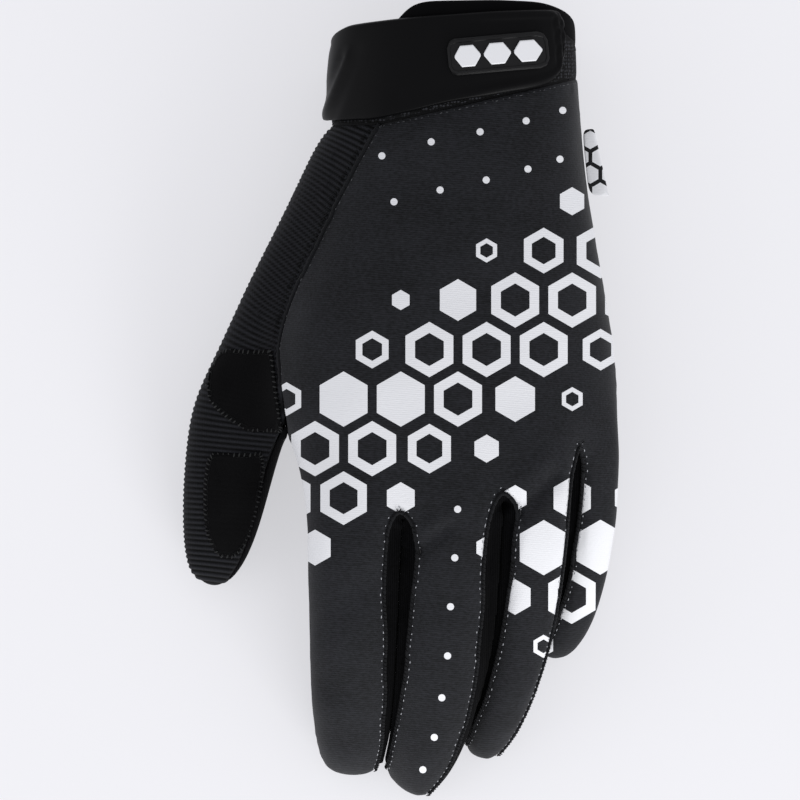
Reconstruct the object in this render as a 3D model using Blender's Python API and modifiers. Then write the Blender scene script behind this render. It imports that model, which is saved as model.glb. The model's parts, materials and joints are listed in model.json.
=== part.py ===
"""A full-finger riding glove for the left hand, lying palm down with its back up.

The frame is +Z up, +Y from the fingertips to the cuff and +X to the little finger's side. The origin is
the middle of the glove's box, on the surface that the glove lies on. Every size is in metres.

The soft shell is one cage of rings: rows across the hand from the wrist to the knuckles, and then one
tube of rings for each digit. The cage is smoothed once, cut along its seams into the sewn panels, and
each panel gets its wall. Cuff, strap, patches, badge and side tab are laid on that skin.
"""

import math
from collections import namedtuple

import bmesh
import bpy
from mathutils import Vector
from mathutils.bvhtree import BVHTree

# The hand's driving dimensions.
PALM_LENGTH = 0.1120
HAND_BREADTH = 0.0904
HAND_HEIGHT = 0.0535
WRIST_WIDTH = 0.0687
WRIST_DEPTH = 0.0440
CROSS_ARCH = 0.0080

# The cloth and how it is sewn.
PANEL_WALL = 0.0013
LEAST_WALL = 0.0005
LEAST_INNER_EDGE = 0.45
WALL_CUT = 0.85
WALL_TRIES = 12
SEAM_GAP = 0.0003
REST_SINK = 0.0005
SECTION_ROUNDNESS = 2.35

# The cuff, its collar and the strap round it.
CUFF_WALL = 0.0018
CUFF_LENGTH = 0.0265
CUFF_TAPER = 0.955
CUFF_SHIFT = 0.0008
COLLAR_LENGTH = 0.0072
COLLAR_WALL = 0.0024
STRAP_WALL = 0.0022
STRAP_FIT = 0.0003
BADGE_WIDTH = 0.0262
BADGE_HEIGHT = 0.0104
BADGE_THICKNESS = 0.0012
BADGE_TILT = 5.5
BADGE_STEPS = 6
MARK_THICKNESS = 0.0007
MARK_COUNT = 3

# The patches on the thumb and the folded tab in the side seam.
PATCH_WALL = 0.0009
PATCH_FIT = 0.0004
PATCH_STEP = 0.0030
PATCH_COLUMNS = 6
TAB_LENGTH = 0.0190
TAB_REACH = 0.0056
TAB_THICKNESS = 0.0012
TAB_NARROW = 0.62
TAB_STEPS = 4

# Rows across the hand, from the wrist seam to just before the knuckles. Places along the hand are shares
# of PALM_LENGTH from the wrist line, places across are shares of HAND_BREADTH from the hand's middle, and
# heights are shares of HAND_HEIGHT. The core is the oval of the hand, the thumb's oval joins it at a seam.
BodyRow = namedtuple(
    "BodyRow",
    "thumb_y seam_y ulnar_y thumb_x seam_x radial_x ulnar_x core_z rise fall "
    "thumb_half thumb_z thumb_rise thumb_fall valley arch",
)
BODY_ROWS = (
    BodyRow(
        0.06, 0.06, -0.055, -0.388, -0.248, -0.388, 0.372,
        0.411, 0.411, 0.411, 0.380, 0.411, 0.411, 0.411, 0, 0,
    ),
    BodyRow(
        0.095, 0.095, 0.01, -0.441, -0.269, -0.425, 0.377,
        0.420, 0.420, 0.420, 0.355, 0.402, 0.392, 0.403, 0.005, 0,
    ),
    BodyRow(
        0.27, 0.27, 0.19, -0.531, -0.387, -0.463, 0.394,
        0.468, 0.430, 0.444, 0.268, 0.386, 0.335, 0.388, 0.015, 0.1,
    ),
    BodyRow(
        0.45, 0.45, 0.37, -0.655, -0.492, -0.523, 0.430,
        0.535, 0.414, 0.441, 0.193, 0.375, 0.277, 0.379, 0.02, 0.28,
    ),
    BodyRow(
        0.62, 0.62, 0.525, -0.742, -0.578, -0.578, 0.470,
        0.589, 0.393, 0.395, 0.160, 0.355, 0.234, 0.356, 0.02, 0.6,
    ),
    BodyRow(
        0.74, 0.80, 0.645, -0.838, -0.528, -0.545, 0.490,
        0.626, 0.364, 0.345, 0.150, 0.336, 0.224, 0.325, 0, 0.9,
    ),
    BodyRow(
        0.90, 0.90, 0.725, -0.505, -0.485, -0.505, 0.495,
        0.664, 0.336, 0.285, 0, 0, 0, 0, 0.02, 1.1,
    ),
)
WEB_ROW = 5
WEB_REACH = 0.03

# Where each column of the hand's back lies, as a share of the turn from the thumb seam to the outer side.
COLUMN_SHARES = (0.0, 0.115, 0.22, 0.305, 0.37, 0.435, 0.505, 0.575, 0.64, 0.72, 0.79, 0.86, 0.93, 1.0)
SEAM_COLUMN = 4
LAST_COLUMN = 17
CROTCH_COLUMNS = (7, 10, 13)

# A digit's ring has ten points, from its outer side over the top. The shoulders carry the seams.
RING_COUNT = 10
CROWN_SHARE = 0.37
RING_SWELL = 1.055
BODY_SWELL = 1.004

# Rings along a digit: along is a share of its length, width and depth of its own, yaw (towards the
# thumb's side) and pitch (down) are the way that it points there, and shoulder is how far up its side
# the seams run, all in degrees.
DigitRow = namedtuple("DigitRow", "along yaw pitch width depth shoulder")
Digit = namedtuple("Digit", "length width depth roll x y z rows")
INDEX = Digit(
    0.0870, 0.0279, 0.0215, -4, -0.326, 1.02, 0.752,
    (
        DigitRow(0.0, 0, 3, 1.0, 1.0, 56),
        DigitRow(0.075, 0, 5, 1.0, 1.0, 54),
        DigitRow(0.24, 0, 11, 0.96, 1.0, 50),
        DigitRow(0.45, 0, 24, 0.92, 0.97, 44),
        DigitRow(0.66, 1, 38, 0.85, 0.92, 38),
        DigitRow(0.84, 1, 48, 0.75, 0.80, 35),
        DigitRow(0.96, 2, 53, 0.57, 0.56, 36),
    ),
)
MIDDLE = Digit(
    0.0955, 0.0282, 0.0215, 0, -0.017, 1.0, 0.780,
    (
        DigitRow(0.0, 2, 4, 1.0, 1.0, 56),
        DigitRow(0.075, 2, 5, 0.99, 1.0, 54),
        DigitRow(0.24, 3, 10, 0.97, 1.0, 50),
        DigitRow(0.45, 5, 22, 0.94, 0.97, 44),
        DigitRow(0.66, 11, 36, 0.83, 0.91, 38),
        DigitRow(0.84, 21, 46, 0.715, 0.78, 35),
        DigitRow(0.96, 38, 50, 0.57, 0.56, 36),
    ),
)
RING = Digit(
    0.0945, 0.0220, 0.0205, 14, 0.248, 0.93, 0.755,
    (
        DigitRow(0.0, 3, 4, 1.0, 1.0, 56),
        DigitRow(0.075, 3, 6, 0.99, 1.0, 54),
        DigitRow(0.24, 4, 10, 0.93, 1.0, 48),
        DigitRow(0.45, 9, 21, 0.83, 0.97, 42),
        DigitRow(0.66, 17, 35, 0.72, 0.92, 38),
        DigitRow(0.84, 26, 46, 0.65, 0.80, 36),
        DigitRow(0.96, 32, 52, 0.47, 0.54, 36),
    ),
)
LITTLE = Digit(
    0.0750, 0.0172, 0.0175, 35, 0.409, 0.80, 0.575,
    (
        DigitRow(0.0, 0, 12, 1.0, 1.0, 56),
        DigitRow(0.17, 2, 15, 1.0, 1.0, 52),
        DigitRow(0.34, 4, 18, 0.98, 1.0, 47),
        DigitRow(0.52, 7, 22, 0.96, 0.97, 41),
        DigitRow(0.70, 13, 27, 0.90, 0.91, 38),
        DigitRow(0.86, 24, 33, 0.76, 0.78, 36),
        DigitRow(0.96, 30, 38, 0.54, 0.54, 36),
    ),
)
THUMB = Digit(
    0.0502, 0.0288, 0.0230, 0, -0.675, 0.785, 0.320,
    (
        DigitRow(0.0, 14, 5, 1.0, 1.0, 46),
        DigitRow(0.20, 12, 8, 0.965, 1.0, 46),
        DigitRow(0.41, 8, 11, 0.89, 0.97, 45),
        DigitRow(0.62, 8, 13, 0.79, 0.90, 42),
        DigitRow(0.82, 13, 15, 0.64, 0.76, 40),
        DigitRow(0.95, 17, 17, 0.42, 0.52, 40),
    ),
)
FINGERS = (INDEX, MIDDLE, RING, LITTLE)
TIP_REACH = 1.015
# How far past the row of knuckles the crotch between two fingers lies, as shares of PALM_LENGTH: at the
# back, at half depth and at the palm.
CROTCH_REACH = ((0.012, 0.050, 0.080), (0.007, 0.045, 0.075), (-0.040, -0.025, -0.020))

# The cuff's mouth: how far past the wrist line it lies at each turn, as a share of CUFF_LENGTH. Over the
# back it stands above the strap, and it steps down where the strap wraps round the thumb's side.
MouthRow = namedtuple("MouthRow", "turn reach")
MOUTH_ROWS = (
    MouthRow(0, 0.83),
    MouthRow(20, 0.93),
    MouthRow(34, 0.99),
    MouthRow(48, 1.04),
    MouthRow(75, 1.06),
    MouthRow(100, 1.05),
    MouthRow(111, 1.03),
    MouthRow(118, 0.80),
    MouthRow(130, 0.70),
    MouthRow(150, 0.62),
    MouthRow(180, 0.50),
    MouthRow(210, 0.46),
    MouthRow(240, 0.46),
    MouthRow(270, 0.51),
    MouthRow(300, 0.60),
    MouthRow(330, 0.72),
    MouthRow(360, 0.83),
)
CUFF_STEPS = 48

# The strap's two edges, by turn round the cuff in degrees from its free end over the back to the palm.
# Both edges are shares of CUFF_LENGTH past the wrist line.
StrapRow = namedtuple("StrapRow", "turn lower upper")
STRAP_ROWS = (
    StrapRow(33, 0.50, 0.84),
    StrapRow(35, 0.36, 0.915),
    StrapRow(39, 0.25, 0.95),
    StrapRow(48, 0.16, 0.955),
    StrapRow(58, 0.12, 0.95),
    StrapRow(73, 0.07, 0.94),
    StrapRow(89, -0.01, 0.92),
    StrapRow(105, -0.12, 0.89),
    StrapRow(126, -0.215, 0.845),
    StrapRow(150, -0.225, 0.80),
    StrapRow(170, -0.225, 0.71),
    StrapRow(190, -0.22, 0.56),
    StrapRow(205, -0.19, 0.50),
    StrapRow(230, -0.10, 0.44),
)
STRAP_END_ROWS = 3

# The badge lies on the strap, its middle given from the hand's middle line and the wrist line.
BADGE_X = 0.0103
BADGE_Y = 0.0130
BADGE_CORNER = 0.0022
MARK_HALF = 0.0030
MARK_PITCH = 0.0078

# The folded tab stands out of the outer seam, as shares of PALM_LENGTH from the wrist line.
TAB_PLACE = 0.155
TAB_HEIGHT = 0.45

# The two patches on the thumb, seen from above: each row goes across from its thumb-side edge to the
# hand's side. Along is a share of PALM_LENGTH, left and right are shares of HAND_BREADTH.
PatchRow = namedtuple("PatchRow", "along left right")
WEB_PATCH = (
    PatchRow(0.622, -0.722, -0.572),
    PatchRow(0.632, -0.738, -0.567),
    PatchRow(0.670, -0.762, -0.564),
    PatchRow(0.735, -0.778, -0.5555),
    PatchRow(0.770, -0.765, -0.5475),
    PatchRow(0.815, -0.690, -0.540),
    PatchRow(0.832, -0.640, -0.546),
)
TIP_PATCH = (
    PatchRow(0.880, -0.758, -0.605),
    PatchRow(0.890, -0.778, -0.594),
    PatchRow(0.960, -0.790, -0.612),
    PatchRow(1.030, -0.790, -0.630),
    PatchRow(1.090, -0.782, -0.652),
    PatchRow(1.125, -0.762, -0.676),
    PatchRow(1.145, -0.738, -0.700),
)

PANELS = (
    "back_panel",
    "palm_panel",
    "thumb_back",
    "thumb_front",
    "fourchette_index",
    "fourchette_middle",
    "fourchette_ring",
)
BACK, PALM, THUMB_BACK, THUMB_FRONT, FIRST_FOURCHETTE = 0, 1, 2, 3, 4


def clear_scene():
    """Removes whatever the file opened with."""
    for thing in list(bpy.data.objects):
        bpy.data.objects.remove(thing, do_unlink=True)


def new_collection(name):
    """Makes a collection in the scene."""
    collection = bpy.data.collections.new(name)
    bpy.context.scene.collection.children.link(collection)
    return collection


def new_material(name, colour, roughness, metallic=0.0):
    """Makes a plain Principled material."""
    material = bpy.data.materials.new(name)
    material.use_nodes = True
    shader = material.node_tree.nodes["Principled BSDF"]
    shader.inputs["Base Color"].default_value = (*colour, 1.0)
    shader.inputs["Roughness"].default_value = roughness
    shader.inputs["Metallic"].default_value = metallic
    return material


def oval(turn, half_width, rise, fall):
    """A point of a rounded oval: across and up, at a turn in degrees from its right side."""
    angle = math.radians(turn)
    power = 2.0 / SECTION_ROUNDNESS
    across = math.copysign(abs(math.cos(angle)) ** power, math.cos(angle)) * half_width
    height = rise if math.sin(angle) >= 0 else fall
    up = math.copysign(abs(math.sin(angle)) ** power, math.sin(angle)) * height
    return across, up


def oval_turn(across, half_width):
    """The turn, in degrees over the top, at which the oval lies that far across."""
    share = max(-1.0, min(1.0, across / half_width))
    cosine = math.copysign(abs(share) ** (SECTION_ROUNDNESS / 2.0), share)
    return math.degrees(math.acos(cosine))


def wrist_oval():
    """Middle across, middle height and half sizes of the oval at the wrist seam."""
    row = BODY_ROWS[0]
    middle = (row.thumb_x + row.ulnar_x) / 2 * HAND_BREADTH
    return middle, WRIST_DEPTH / 2 - REST_SINK, WRIST_WIDTH / 2, WRIST_DEPTH / 2


def wrist_reach(across):
    """How far past the wrist line, towards the cuff, the wrist seam runs at a place across."""
    row = BODY_ROWS[0]
    seam, outer = row.seam_x * HAND_BREADTH, row.ulnar_x * HAND_BREADTH
    share = max(0.0, (across - seam) / (outer - seam))
    return -PALM_LENGTH * (row.seam_y + (row.ulnar_y - row.seam_y) * share)


def row_sides(row_number):
    """The points of one row of the body: the columns over the top and the same columns below."""
    row = BODY_ROWS[row_number]
    if row_number == 0:
        core_x, core_z, core_half, rise = wrist_oval()
        fall = rise
        thumb_x, thumb_z, thumb_half, thumb_rise, thumb_fall = core_x, core_z, core_half, rise, fall
    else:
        core_x = (row.radial_x + row.ulnar_x) / 2 * HAND_BREADTH
        core_half = (row.ulnar_x - row.radial_x) / 2 * HAND_BREADTH
        core_z, rise, fall = (share * HAND_HEIGHT for share in (row.core_z, row.rise, row.fall))
        thumb_half = row.thumb_half * HAND_BREADTH
        thumb_x = row.thumb_x * HAND_BREADTH + thumb_half
        thumb_z, thumb_rise, thumb_fall = (
            share * HAND_HEIGHT for share in (row.thumb_z, row.thumb_rise, row.thumb_fall)
        )
    seam_x = row.seam_x * HAND_BREADTH
    seam_turn = oval_turn(seam_x - core_x, core_half)
    valley = row.valley * HAND_HEIGHT

    def along(across):
        """Where a column runs along the hand, between the row's three given places."""
        left, middle, right = (s * HAND_BREADTH for s in (row.thumb_x, row.seam_x, row.ulnar_x))
        if across < middle and middle > left:
            share = (across - left) / (middle - left)
            return -PALM_LENGTH * (row.thumb_y + (row.seam_y - row.thumb_y) * share)
        share = (across - middle) / (right - middle)
        return -PALM_LENGTH * (row.seam_y + (row.ulnar_y - row.seam_y) * share)

    def drop(across):
        """How much the outer side of the hand hangs below its middle."""
        return CROSS_ARCH * row.arch * max(0.0, (across - core_x) / core_half) ** 2

    sides = []
    for sign in (1, -1):
        points = []
        if row_number <= WEB_ROW:
            thumb_turn = oval_turn(seam_x - thumb_x, thumb_half)
            for step in range(SEAM_COLUMN):
                turn = 180 + (thumb_turn - 180) * step / SEAM_COLUMN
                across, up = oval(sign * turn, thumb_half, thumb_rise, thumb_fall)
                points.append((thumb_x + across * BODY_SWELL, thumb_z + up * BODY_SWELL))
            core_up = core_z + oval(sign * seam_turn, core_half, rise, fall)[1]
            thumb_up = thumb_z + oval(sign * thumb_turn, thumb_half, thumb_rise, thumb_fall)[1]
            seam_up = max(core_up, thumb_up) - valley if sign > 0 else min(core_up, thumb_up) + valley
            points.append((seam_x, seam_up))
        else:
            across, up = oval(sign * 180, core_half, rise, fall)
            points += [None] * (SEAM_COLUMN - 1) + [(core_x + across, core_z)]
            points.append((seam_x, core_z + oval(sign * seam_turn, core_half, rise, fall)[1]))
        for column, share in enumerate(COLUMN_SHARES[1:], SEAM_COLUMN + 1):
            across, up = oval(sign * seam_turn * (1 - share), core_half, rise, fall)
            dip = valley if row_number > WEB_ROW and column in CROTCH_COLUMNS else 0.0
            place = core_x + across * BODY_SWELL
            points.append((place, core_z + up * BODY_SWELL - sign * dip - drop(place)))
        sides.append([p and Vector((p[0], along(p[0]), p[1])) for p in points])
    return sides


def digit_rings(digit):
    """The rings of a digit, as lists of ten points, and the two points of its tip."""
    centre = Vector((digit.x * HAND_BREADTH, -digit.y * PALM_LENGTH, digit.z * HAND_HEIGHT))
    rings = []
    before = digit.rows[0]
    for row in digit.rows:
        yaw = math.radians((row.yaw + before.yaw) / 2)
        pitch = math.radians((row.pitch + before.pitch) / 2)
        step = (row.along - before.along) * digit.length
        centre = centre + heading(yaw, pitch) * step
        rings.append(ring_at(centre, math.radians(row.yaw), math.radians(row.pitch), digit, row))
        before = row
    ahead = heading(math.radians(before.yaw), math.radians(before.pitch))
    tip = centre + ahead * (TIP_REACH - before.along) * digit.length
    across = (rings[-1][0] - rings[-1][RING_COUNT // 2]) / 6
    return rings, (tip + across, tip - across)


def heading(yaw, pitch):
    """The way that a digit points: towards the fingertips, turned to the thumb's side and down."""
    return Vector((-math.sin(yaw) * math.cos(pitch), -math.cos(yaw) * math.cos(pitch), -math.sin(pitch)))


def ring_at(centre, yaw, pitch, digit, row):
    """Ten points round a digit's axis, square to it and rolled with the digit."""
    ahead = heading(yaw, pitch)
    level = Vector((math.cos(yaw), -math.sin(yaw), 0.0))
    above = ahead.cross(level)
    roll = math.radians(digit.roll)
    side = level * math.cos(roll) - above * math.sin(roll)
    top = level * math.sin(roll) + above * math.cos(roll)
    half = row.width * digit.width / 2 * RING_SWELL
    rise = row.depth * digit.depth / 2 * RING_SWELL
    points = []
    crown = row.shoulder + (90 - row.shoulder) * (1 - CROWN_SHARE)
    upper = (row.shoulder, crown, 180 - crown, 180 - row.shoulder)
    for turn in (0, *upper, 180, *(-turn for turn in reversed(upper))):
        across, up = oval(turn, half, rise, rise)
        points.append(centre + side * across + top * up)
    return points


class Cage:
    """The coarse cage of the whole glove, one closed skin that is open at the wrist."""

    def __init__(self):
        self.mesh = bmesh.new()

    def point(self, place):
        """Adds a corner."""
        return self.mesh.verts.new(place)

    def quad(self, corners, panel):
        """Adds a face of a panel."""
        face = self.mesh.faces.new(corners)
        face.material_index = panel

    def body(self):
        """Adds the rows of the hand as far as the knuckles. Returns each row's upper and lower corners."""
        rows = []
        for number in range(len(BODY_ROWS)):
            top, bottom = row_sides(number)
            first = 0 if number <= WEB_ROW else SEAM_COLUMN - 1
            upper = [place and self.point(place) for place in top]
            lower = [None] * len(upper)
            for column in range(first, len(upper)):
                shared = column in (first, LAST_COLUMN)
                lower[column] = upper[column] if shared else self.point(bottom[column])
            rows.append((upper, lower))
        for number in range(WEB_ROW):
            self.body_strip(rows[number], rows[number + 1], 0)
        return rows

    def body_strip(self, row, following, first):
        """Adds the faces between two rows, from the first column that both have."""
        for column in range(first, LAST_COLUMN):
            hand = column >= SEAM_COLUMN
            upper = BACK if hand else THUMB_BACK
            lower = PALM if hand else THUMB_FRONT
            if column == 0:
                lower = THUMB_BACK
            self.quad(
                (row[0][column], row[0][column + 1], following[0][column + 1], following[0][column]), upper
            )
            self.quad(
                (row[1][column + 1], row[1][column], following[1][column], following[1][column + 1]), lower
            )

    def digit(self, base, digit, panels, cap):
        """Adds a digit on a base ring. Panels names the panel of each of the ring's ten strips."""
        rings, tip = digit_rings(digit)
        before = base
        for places in rings[1:]:
            ring = [self.point(place) for place in places]
            for step in range(RING_COUNT):
                after = (step + 1) % RING_COUNT
                self.quad((before[after], before[step], ring[step], ring[after]), panels[step])
            before = ring
        outer, inner = (self.point(place) for place in tip)
        upper, lower = cap
        right, shoulder, crown, second, far, left, low_left, low_far, low_crown, low_right = before
        self.quad((shoulder, right, outer, crown), upper)
        self.quad((crown, outer, inner, second), upper)
        self.quad((second, inner, left, far), upper)
        self.quad((right, low_right, low_crown, outer), lower)
        self.quad((outer, low_crown, low_far, inner), lower)
        self.quad((inner, low_far, low_left, left), lower)


def between(places):
    """The middle of some points."""
    return sum(places, Vector()) / len(places)


def build_cage():
    """The whole cage, as a bmesh whose faces carry their panel's number."""
    cage = Cage()
    rows = cage.body()
    bases = [digit_rings(digit)[0][0] for digit in FINGERS]

    # The web between thumb and hand, and the hand's rows from there to the knuckles.
    web_upper, web_lower = rows[WEB_ROW]
    seam_middle = between((web_upper[SEAM_COLUMN].co, web_lower[SEAM_COLUMN].co))
    web = cage.point(seam_middle + Vector((0, -WEB_REACH * PALM_LENGTH, 0)))
    next_upper, next_lower = rows[WEB_ROW + 1]
    edge = SEAM_COLUMN - 1
    hand_upper = [None] * edge + [web] + web_upper[SEAM_COLUMN:]
    hand_lower = [None] * edge + [web] + web_lower[SEAM_COLUMN:]

    knuckle_upper = [None] * (LAST_COLUMN + 1)
    knuckle_lower = [None] * (LAST_COLUMN + 1)
    index, little = bases[0], bases[-1]
    knuckle_upper[edge] = knuckle_lower[edge] = cage.point(index[5])
    knuckle_upper[SEAM_COLUMN] = cage.point(index[4])
    knuckle_lower[SEAM_COLUMN] = cage.point(index[6])
    knuckle_upper[LAST_COLUMN] = knuckle_lower[LAST_COLUMN] = cage.point(little[0])
    knuckle_upper[LAST_COLUMN - 1] = cage.point(little[1])
    knuckle_lower[LAST_COLUMN - 1] = cage.point(little[9])
    for number, ring in enumerate(bases):
        column = SEAM_COLUMN + 1 + 3 * number
        for step, (above, below) in enumerate(((3, 7), (2, 8))):
            knuckle_upper[column + step] = cage.point(ring[above])
            knuckle_lower[column + step] = cage.point(ring[below])
    middles = []
    for number, column in enumerate(CROTCH_COLUMNS):
        left, right = bases[number], bases[number + 1]
        top, middle, low = (
            cage.point(between((left[a], right[b])) + Vector((0, -reach * PALM_LENGTH, 0)))
            for (a, b), reach in zip(((1, 4), (0, 5), (9, 6)), CROTCH_REACH[number])
        )
        knuckle_upper[column], knuckle_lower[column] = top, low
        middles.append(middle)

    def hand_strip(row, following):
        """Adds the faces between two rows that lie past the web."""
        for column in range(edge, LAST_COLUMN):
            cage.quad(
                (row[0][column], row[0][column + 1], following[0][column + 1], following[0][column]), BACK
            )
            cage.quad(
                (row[1][column + 1], row[1][column], following[1][column], following[1][column + 1]), PALM
            )

    hand_strip((hand_upper, hand_lower), (next_upper, next_lower))
    hand_strip((next_upper, next_lower), (knuckle_upper, knuckle_lower))

    # The fingers, each on its own opening in the row of knuckles.
    for number, digit in enumerate(FINGERS):
        first = SEAM_COLUMN + 3 * number
        right = middles[number] if number < len(middles) else knuckle_upper[LAST_COLUMN]
        left = middles[number - 1] if number else knuckle_upper[edge]
        upper = [knuckle_upper[first + 3 - step] for step in range(4)]
        lower = [knuckle_lower[first + step] for step in range(4)]
        base = [right, *upper, left, *lower]
        right_wall = FIRST_FOURCHETTE + number
        left_wall = right_wall - 1
        right_pair = (right_wall, right_wall) if number < len(middles) else (BACK, PALM)
        left_pair = (left_wall, left_wall) if number else (BACK, PALM)
        strips = [right_pair[0], BACK, BACK, BACK, *left_pair, PALM, PALM, PALM, right_pair[1]]
        cage.digit(base, digit, strips, (BACK, PALM))

    # The thumb, whose ribbed back wraps its outer side.
    base = [web, *(web_upper[c] for c in range(SEAM_COLUMN, -1, -1)), *web_lower[1 : SEAM_COLUMN + 1]]
    strips = [THUMB_FRONT, *[THUMB_BACK] * 5, *[THUMB_FRONT] * 4]
    cage.digit(base, THUMB, strips, (THUMB_BACK, THUMB_FRONT))
    return cage.mesh


def smoothed_skin(helpers):
    """The cage smoothed once, as a hidden helper object whose mesh is final."""
    cage = build_cage()
    bmesh.ops.recalc_face_normals(cage, faces=cage.faces)
    mesh = bpy.data.meshes.new("cage")
    cage.to_mesh(mesh)
    cage.free()
    for name in PANELS:
        mesh.materials.append(bpy.data.materials[name])
    rough = bpy.data.objects.new("cage", mesh)
    helpers.objects.link(rough)
    smooth = rough.modifiers.new("smooth", "SUBSURF")
    smooth.levels = smooth.render_levels = 1
    bpy.context.view_layer.update()
    graph = bpy.context.evaluated_depsgraph_get()
    skin = bpy.data.objects.new("skin", bpy.data.meshes.new_from_object(rough.evaluated_get(graph)))
    helpers.objects.link(skin)
    for helper in (rough, skin):
        helper.hide_render = True
        helper.display_type = "WIRE"
    return skin


def fitted_walls(skin):
    """The wall at each corner of the skin, thinner where the skin folds more tightly than the wall."""
    mesh = skin.data
    places = [vertex.co.copy() for vertex in mesh.vertices]
    inward = [-Vector(normal.vector) for normal in mesh.vertex_normals]
    walls = [PANEL_WALL] * len(places)
    edges = [tuple(edge.vertices) for edge in mesh.edges]
    for attempt in range(WALL_TRIES):
        tight = set()
        for first, second in edges:
            edge = places[second] - places[first]
            inner = edge + inward[second] * walls[second] - inward[first] * walls[first]
            if inner.dot(edge) < LEAST_INNER_EDGE * edge.length_squared:
                tight.update((first, second))
        for corner in tight:
            walls[corner] = max(LEAST_WALL, walls[corner] * WALL_CUT)
    return [direction * wall for direction, wall in zip(inward, walls)]


def cut_panel(skin, panel, inward, collection):
    """Cuts one sewn panel from the skin, leaves half a seam's gap round it and gives it its wall."""
    whole = bmesh.new()
    whole.from_mesh(skin.data)
    tag = whole.verts.layers.int.new("number")
    for vertex in whole.verts:
        vertex[tag] = vertex.index
    others = [face for face in whole.faces if face.material_index != panel]
    bmesh.ops.delete(whole, geom=others, context="FACES")

    # Draw the edge back from the seam, towards the middle of the panel's own faces.
    moves = {}
    for vertex in whole.verts:
        if not vertex.is_boundary:
            continue
        along = rim_direction(vertex)
        middle = between([face.calc_center_median() for face in vertex.link_faces]) - vertex.co
        middle = middle - along * middle.dot(along)
        moves[vertex] = middle.normalized() * SEAM_GAP / 2
    for vertex, move in moves.items():
        vertex.co += move

    outer = list(whole.verts)
    grown = bmesh.ops.extrude_face_region(whole, geom=list(whole.faces), use_keep_orig=True)["geom"]
    for vertex in (item for item in grown if isinstance(item, bmesh.types.BMVert)):
        vertex.co += inward[vertex[tag]]
        vertex.co.z = max(vertex.co.z, PANEL_WALL)
    for vertex in outer:
        vertex.co.z = max(vertex.co.z, 0.0)
    bmesh.ops.recalc_face_normals(whole, faces=whole.faces)
    return finish_mesh(whole, PANELS[panel], PANELS[panel], collection)


def rim_direction(vertex):
    """The way that a panel's edge runs at one of its corners."""
    rims = [edge.other_vert(vertex).co - vertex.co for edge in vertex.link_edges if edge.is_boundary]
    along = rims[0].normalized() - rims[-1].normalized()
    return along.normalized()


def finish_mesh(work, name, material, collection):
    """Turns a bmesh into a named object with one material."""
    bmesh.ops.triangulate(work, faces=work.faces, quad_method="SHORT_EDGE")
    for face in work.faces:
        face.material_index = 0
        face.smooth = True
    mesh = bpy.data.meshes.new(name)
    work.to_mesh(mesh)
    work.free()
    mesh.materials.append(bpy.data.materials[material])
    thing = bpy.data.objects.new(name, mesh)
    collection.objects.link(thing)
    return thing


def blended(rows, at):
    """A table's other columns at a value of its first column, straight between its rows."""
    before = rows[0]
    for after in rows[1:]:
        if at <= after[0]:
            break
        before = after
    share = (at - before[0]) / (after[0] - before[0])
    return [low + (high - low) * share for low, high in zip(before[1:], after[1:])]


def cuff_mouth(turn):
    """How far past the wrist line the cuff's mouth lies at a turn."""
    return blended(MOUTH_ROWS, turn)[0] * CUFF_LENGTH


def cuff_size(reach):
    """The cuff's width there as a share of the wrist's, and how far its middle moves to the outer side."""
    share = reach / CUFF_LENGTH
    return 1 + (CUFF_TAPER - 1) * share, CUFF_SHIFT * share


def cuff_point(turn, reach, lift=0.0):
    """A point of the cuff's skin at a turn, a distance past the wrist line, lifted off it by so much."""
    middle, height, half, rise = wrist_oval()
    size, shift = cuff_size(reach)

    def place(at):
        """The skin's point at another turn of the same section."""
        across, up = oval(at, half * size, rise, rise)
        return Vector((middle + shift + across, reach, height + up))

    here = place(turn)
    along = (place(turn + 1) - place(turn - 1)).normalized()
    point = here + Vector((along.z, 0.0, -along.x)) * lift
    point.z = max(point.z, -min(lift, 0.0))
    return point


def banded(name, collection, rows, closed=False):
    """A solid band from rows of points, each row the outline of one section."""
    work = bmesh.new()
    corners = [[work.verts.new(place) for place in row] for row in rows]
    count = len(rows)
    for number in range(count if closed else count - 1):
        row, following = corners[number], corners[(number + 1) % count]
        for step in range(len(row)):
            after = (step + 1) % len(row)
            work.faces.new((row[step], row[after], following[after], following[step]))
    if not closed:
        for row in (corners[0], corners[-1]):
            for step in range(len(row) // 2 - 1):
                work.faces.new((row[step], row[step + 1], row[-2 - step], row[-1 - step]))
    bmesh.ops.recalc_face_normals(work, faces=work.faces)
    return finish_mesh(work, name, name, collection)


def build_cuff(collection):
    """The mesh sleeve and the smooth collar at its mouth, both open at their two ends."""
    sleeve, collar = [], []
    for step in range(CUFF_STEPS):
        turn = 360 * step / CUFF_STEPS
        start = wrist_reach(cuff_point(turn, 0.0).x) + SEAM_GAP
        end = cuff_mouth(turn) - COLLAR_LENGTH
        middle = (start + end) / 2
        outside = [cuff_point(turn, reach) for reach in (start, middle, end)]
        inside = [cuff_point(turn, reach, -CUFF_WALL) for reach in (end, middle, start)]
        sleeve.append(outside + inside)
        start, end = end + SEAM_GAP, cuff_mouth(turn)
        soft = 0.3 * COLLAR_WALL
        section = (
            (start, 0.0),
            (end - soft, 0.0),
            (end, -soft),
            (end, soft - COLLAR_WALL),
            (end - soft, -COLLAR_WALL),
            (start, -COLLAR_WALL),
        )
        collar.append([cuff_point(turn, reach, lift) for reach, lift in section])
    banded("cuff", collection, sleeve, closed=True)
    banded("collar", collection, collar, closed=True)


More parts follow.
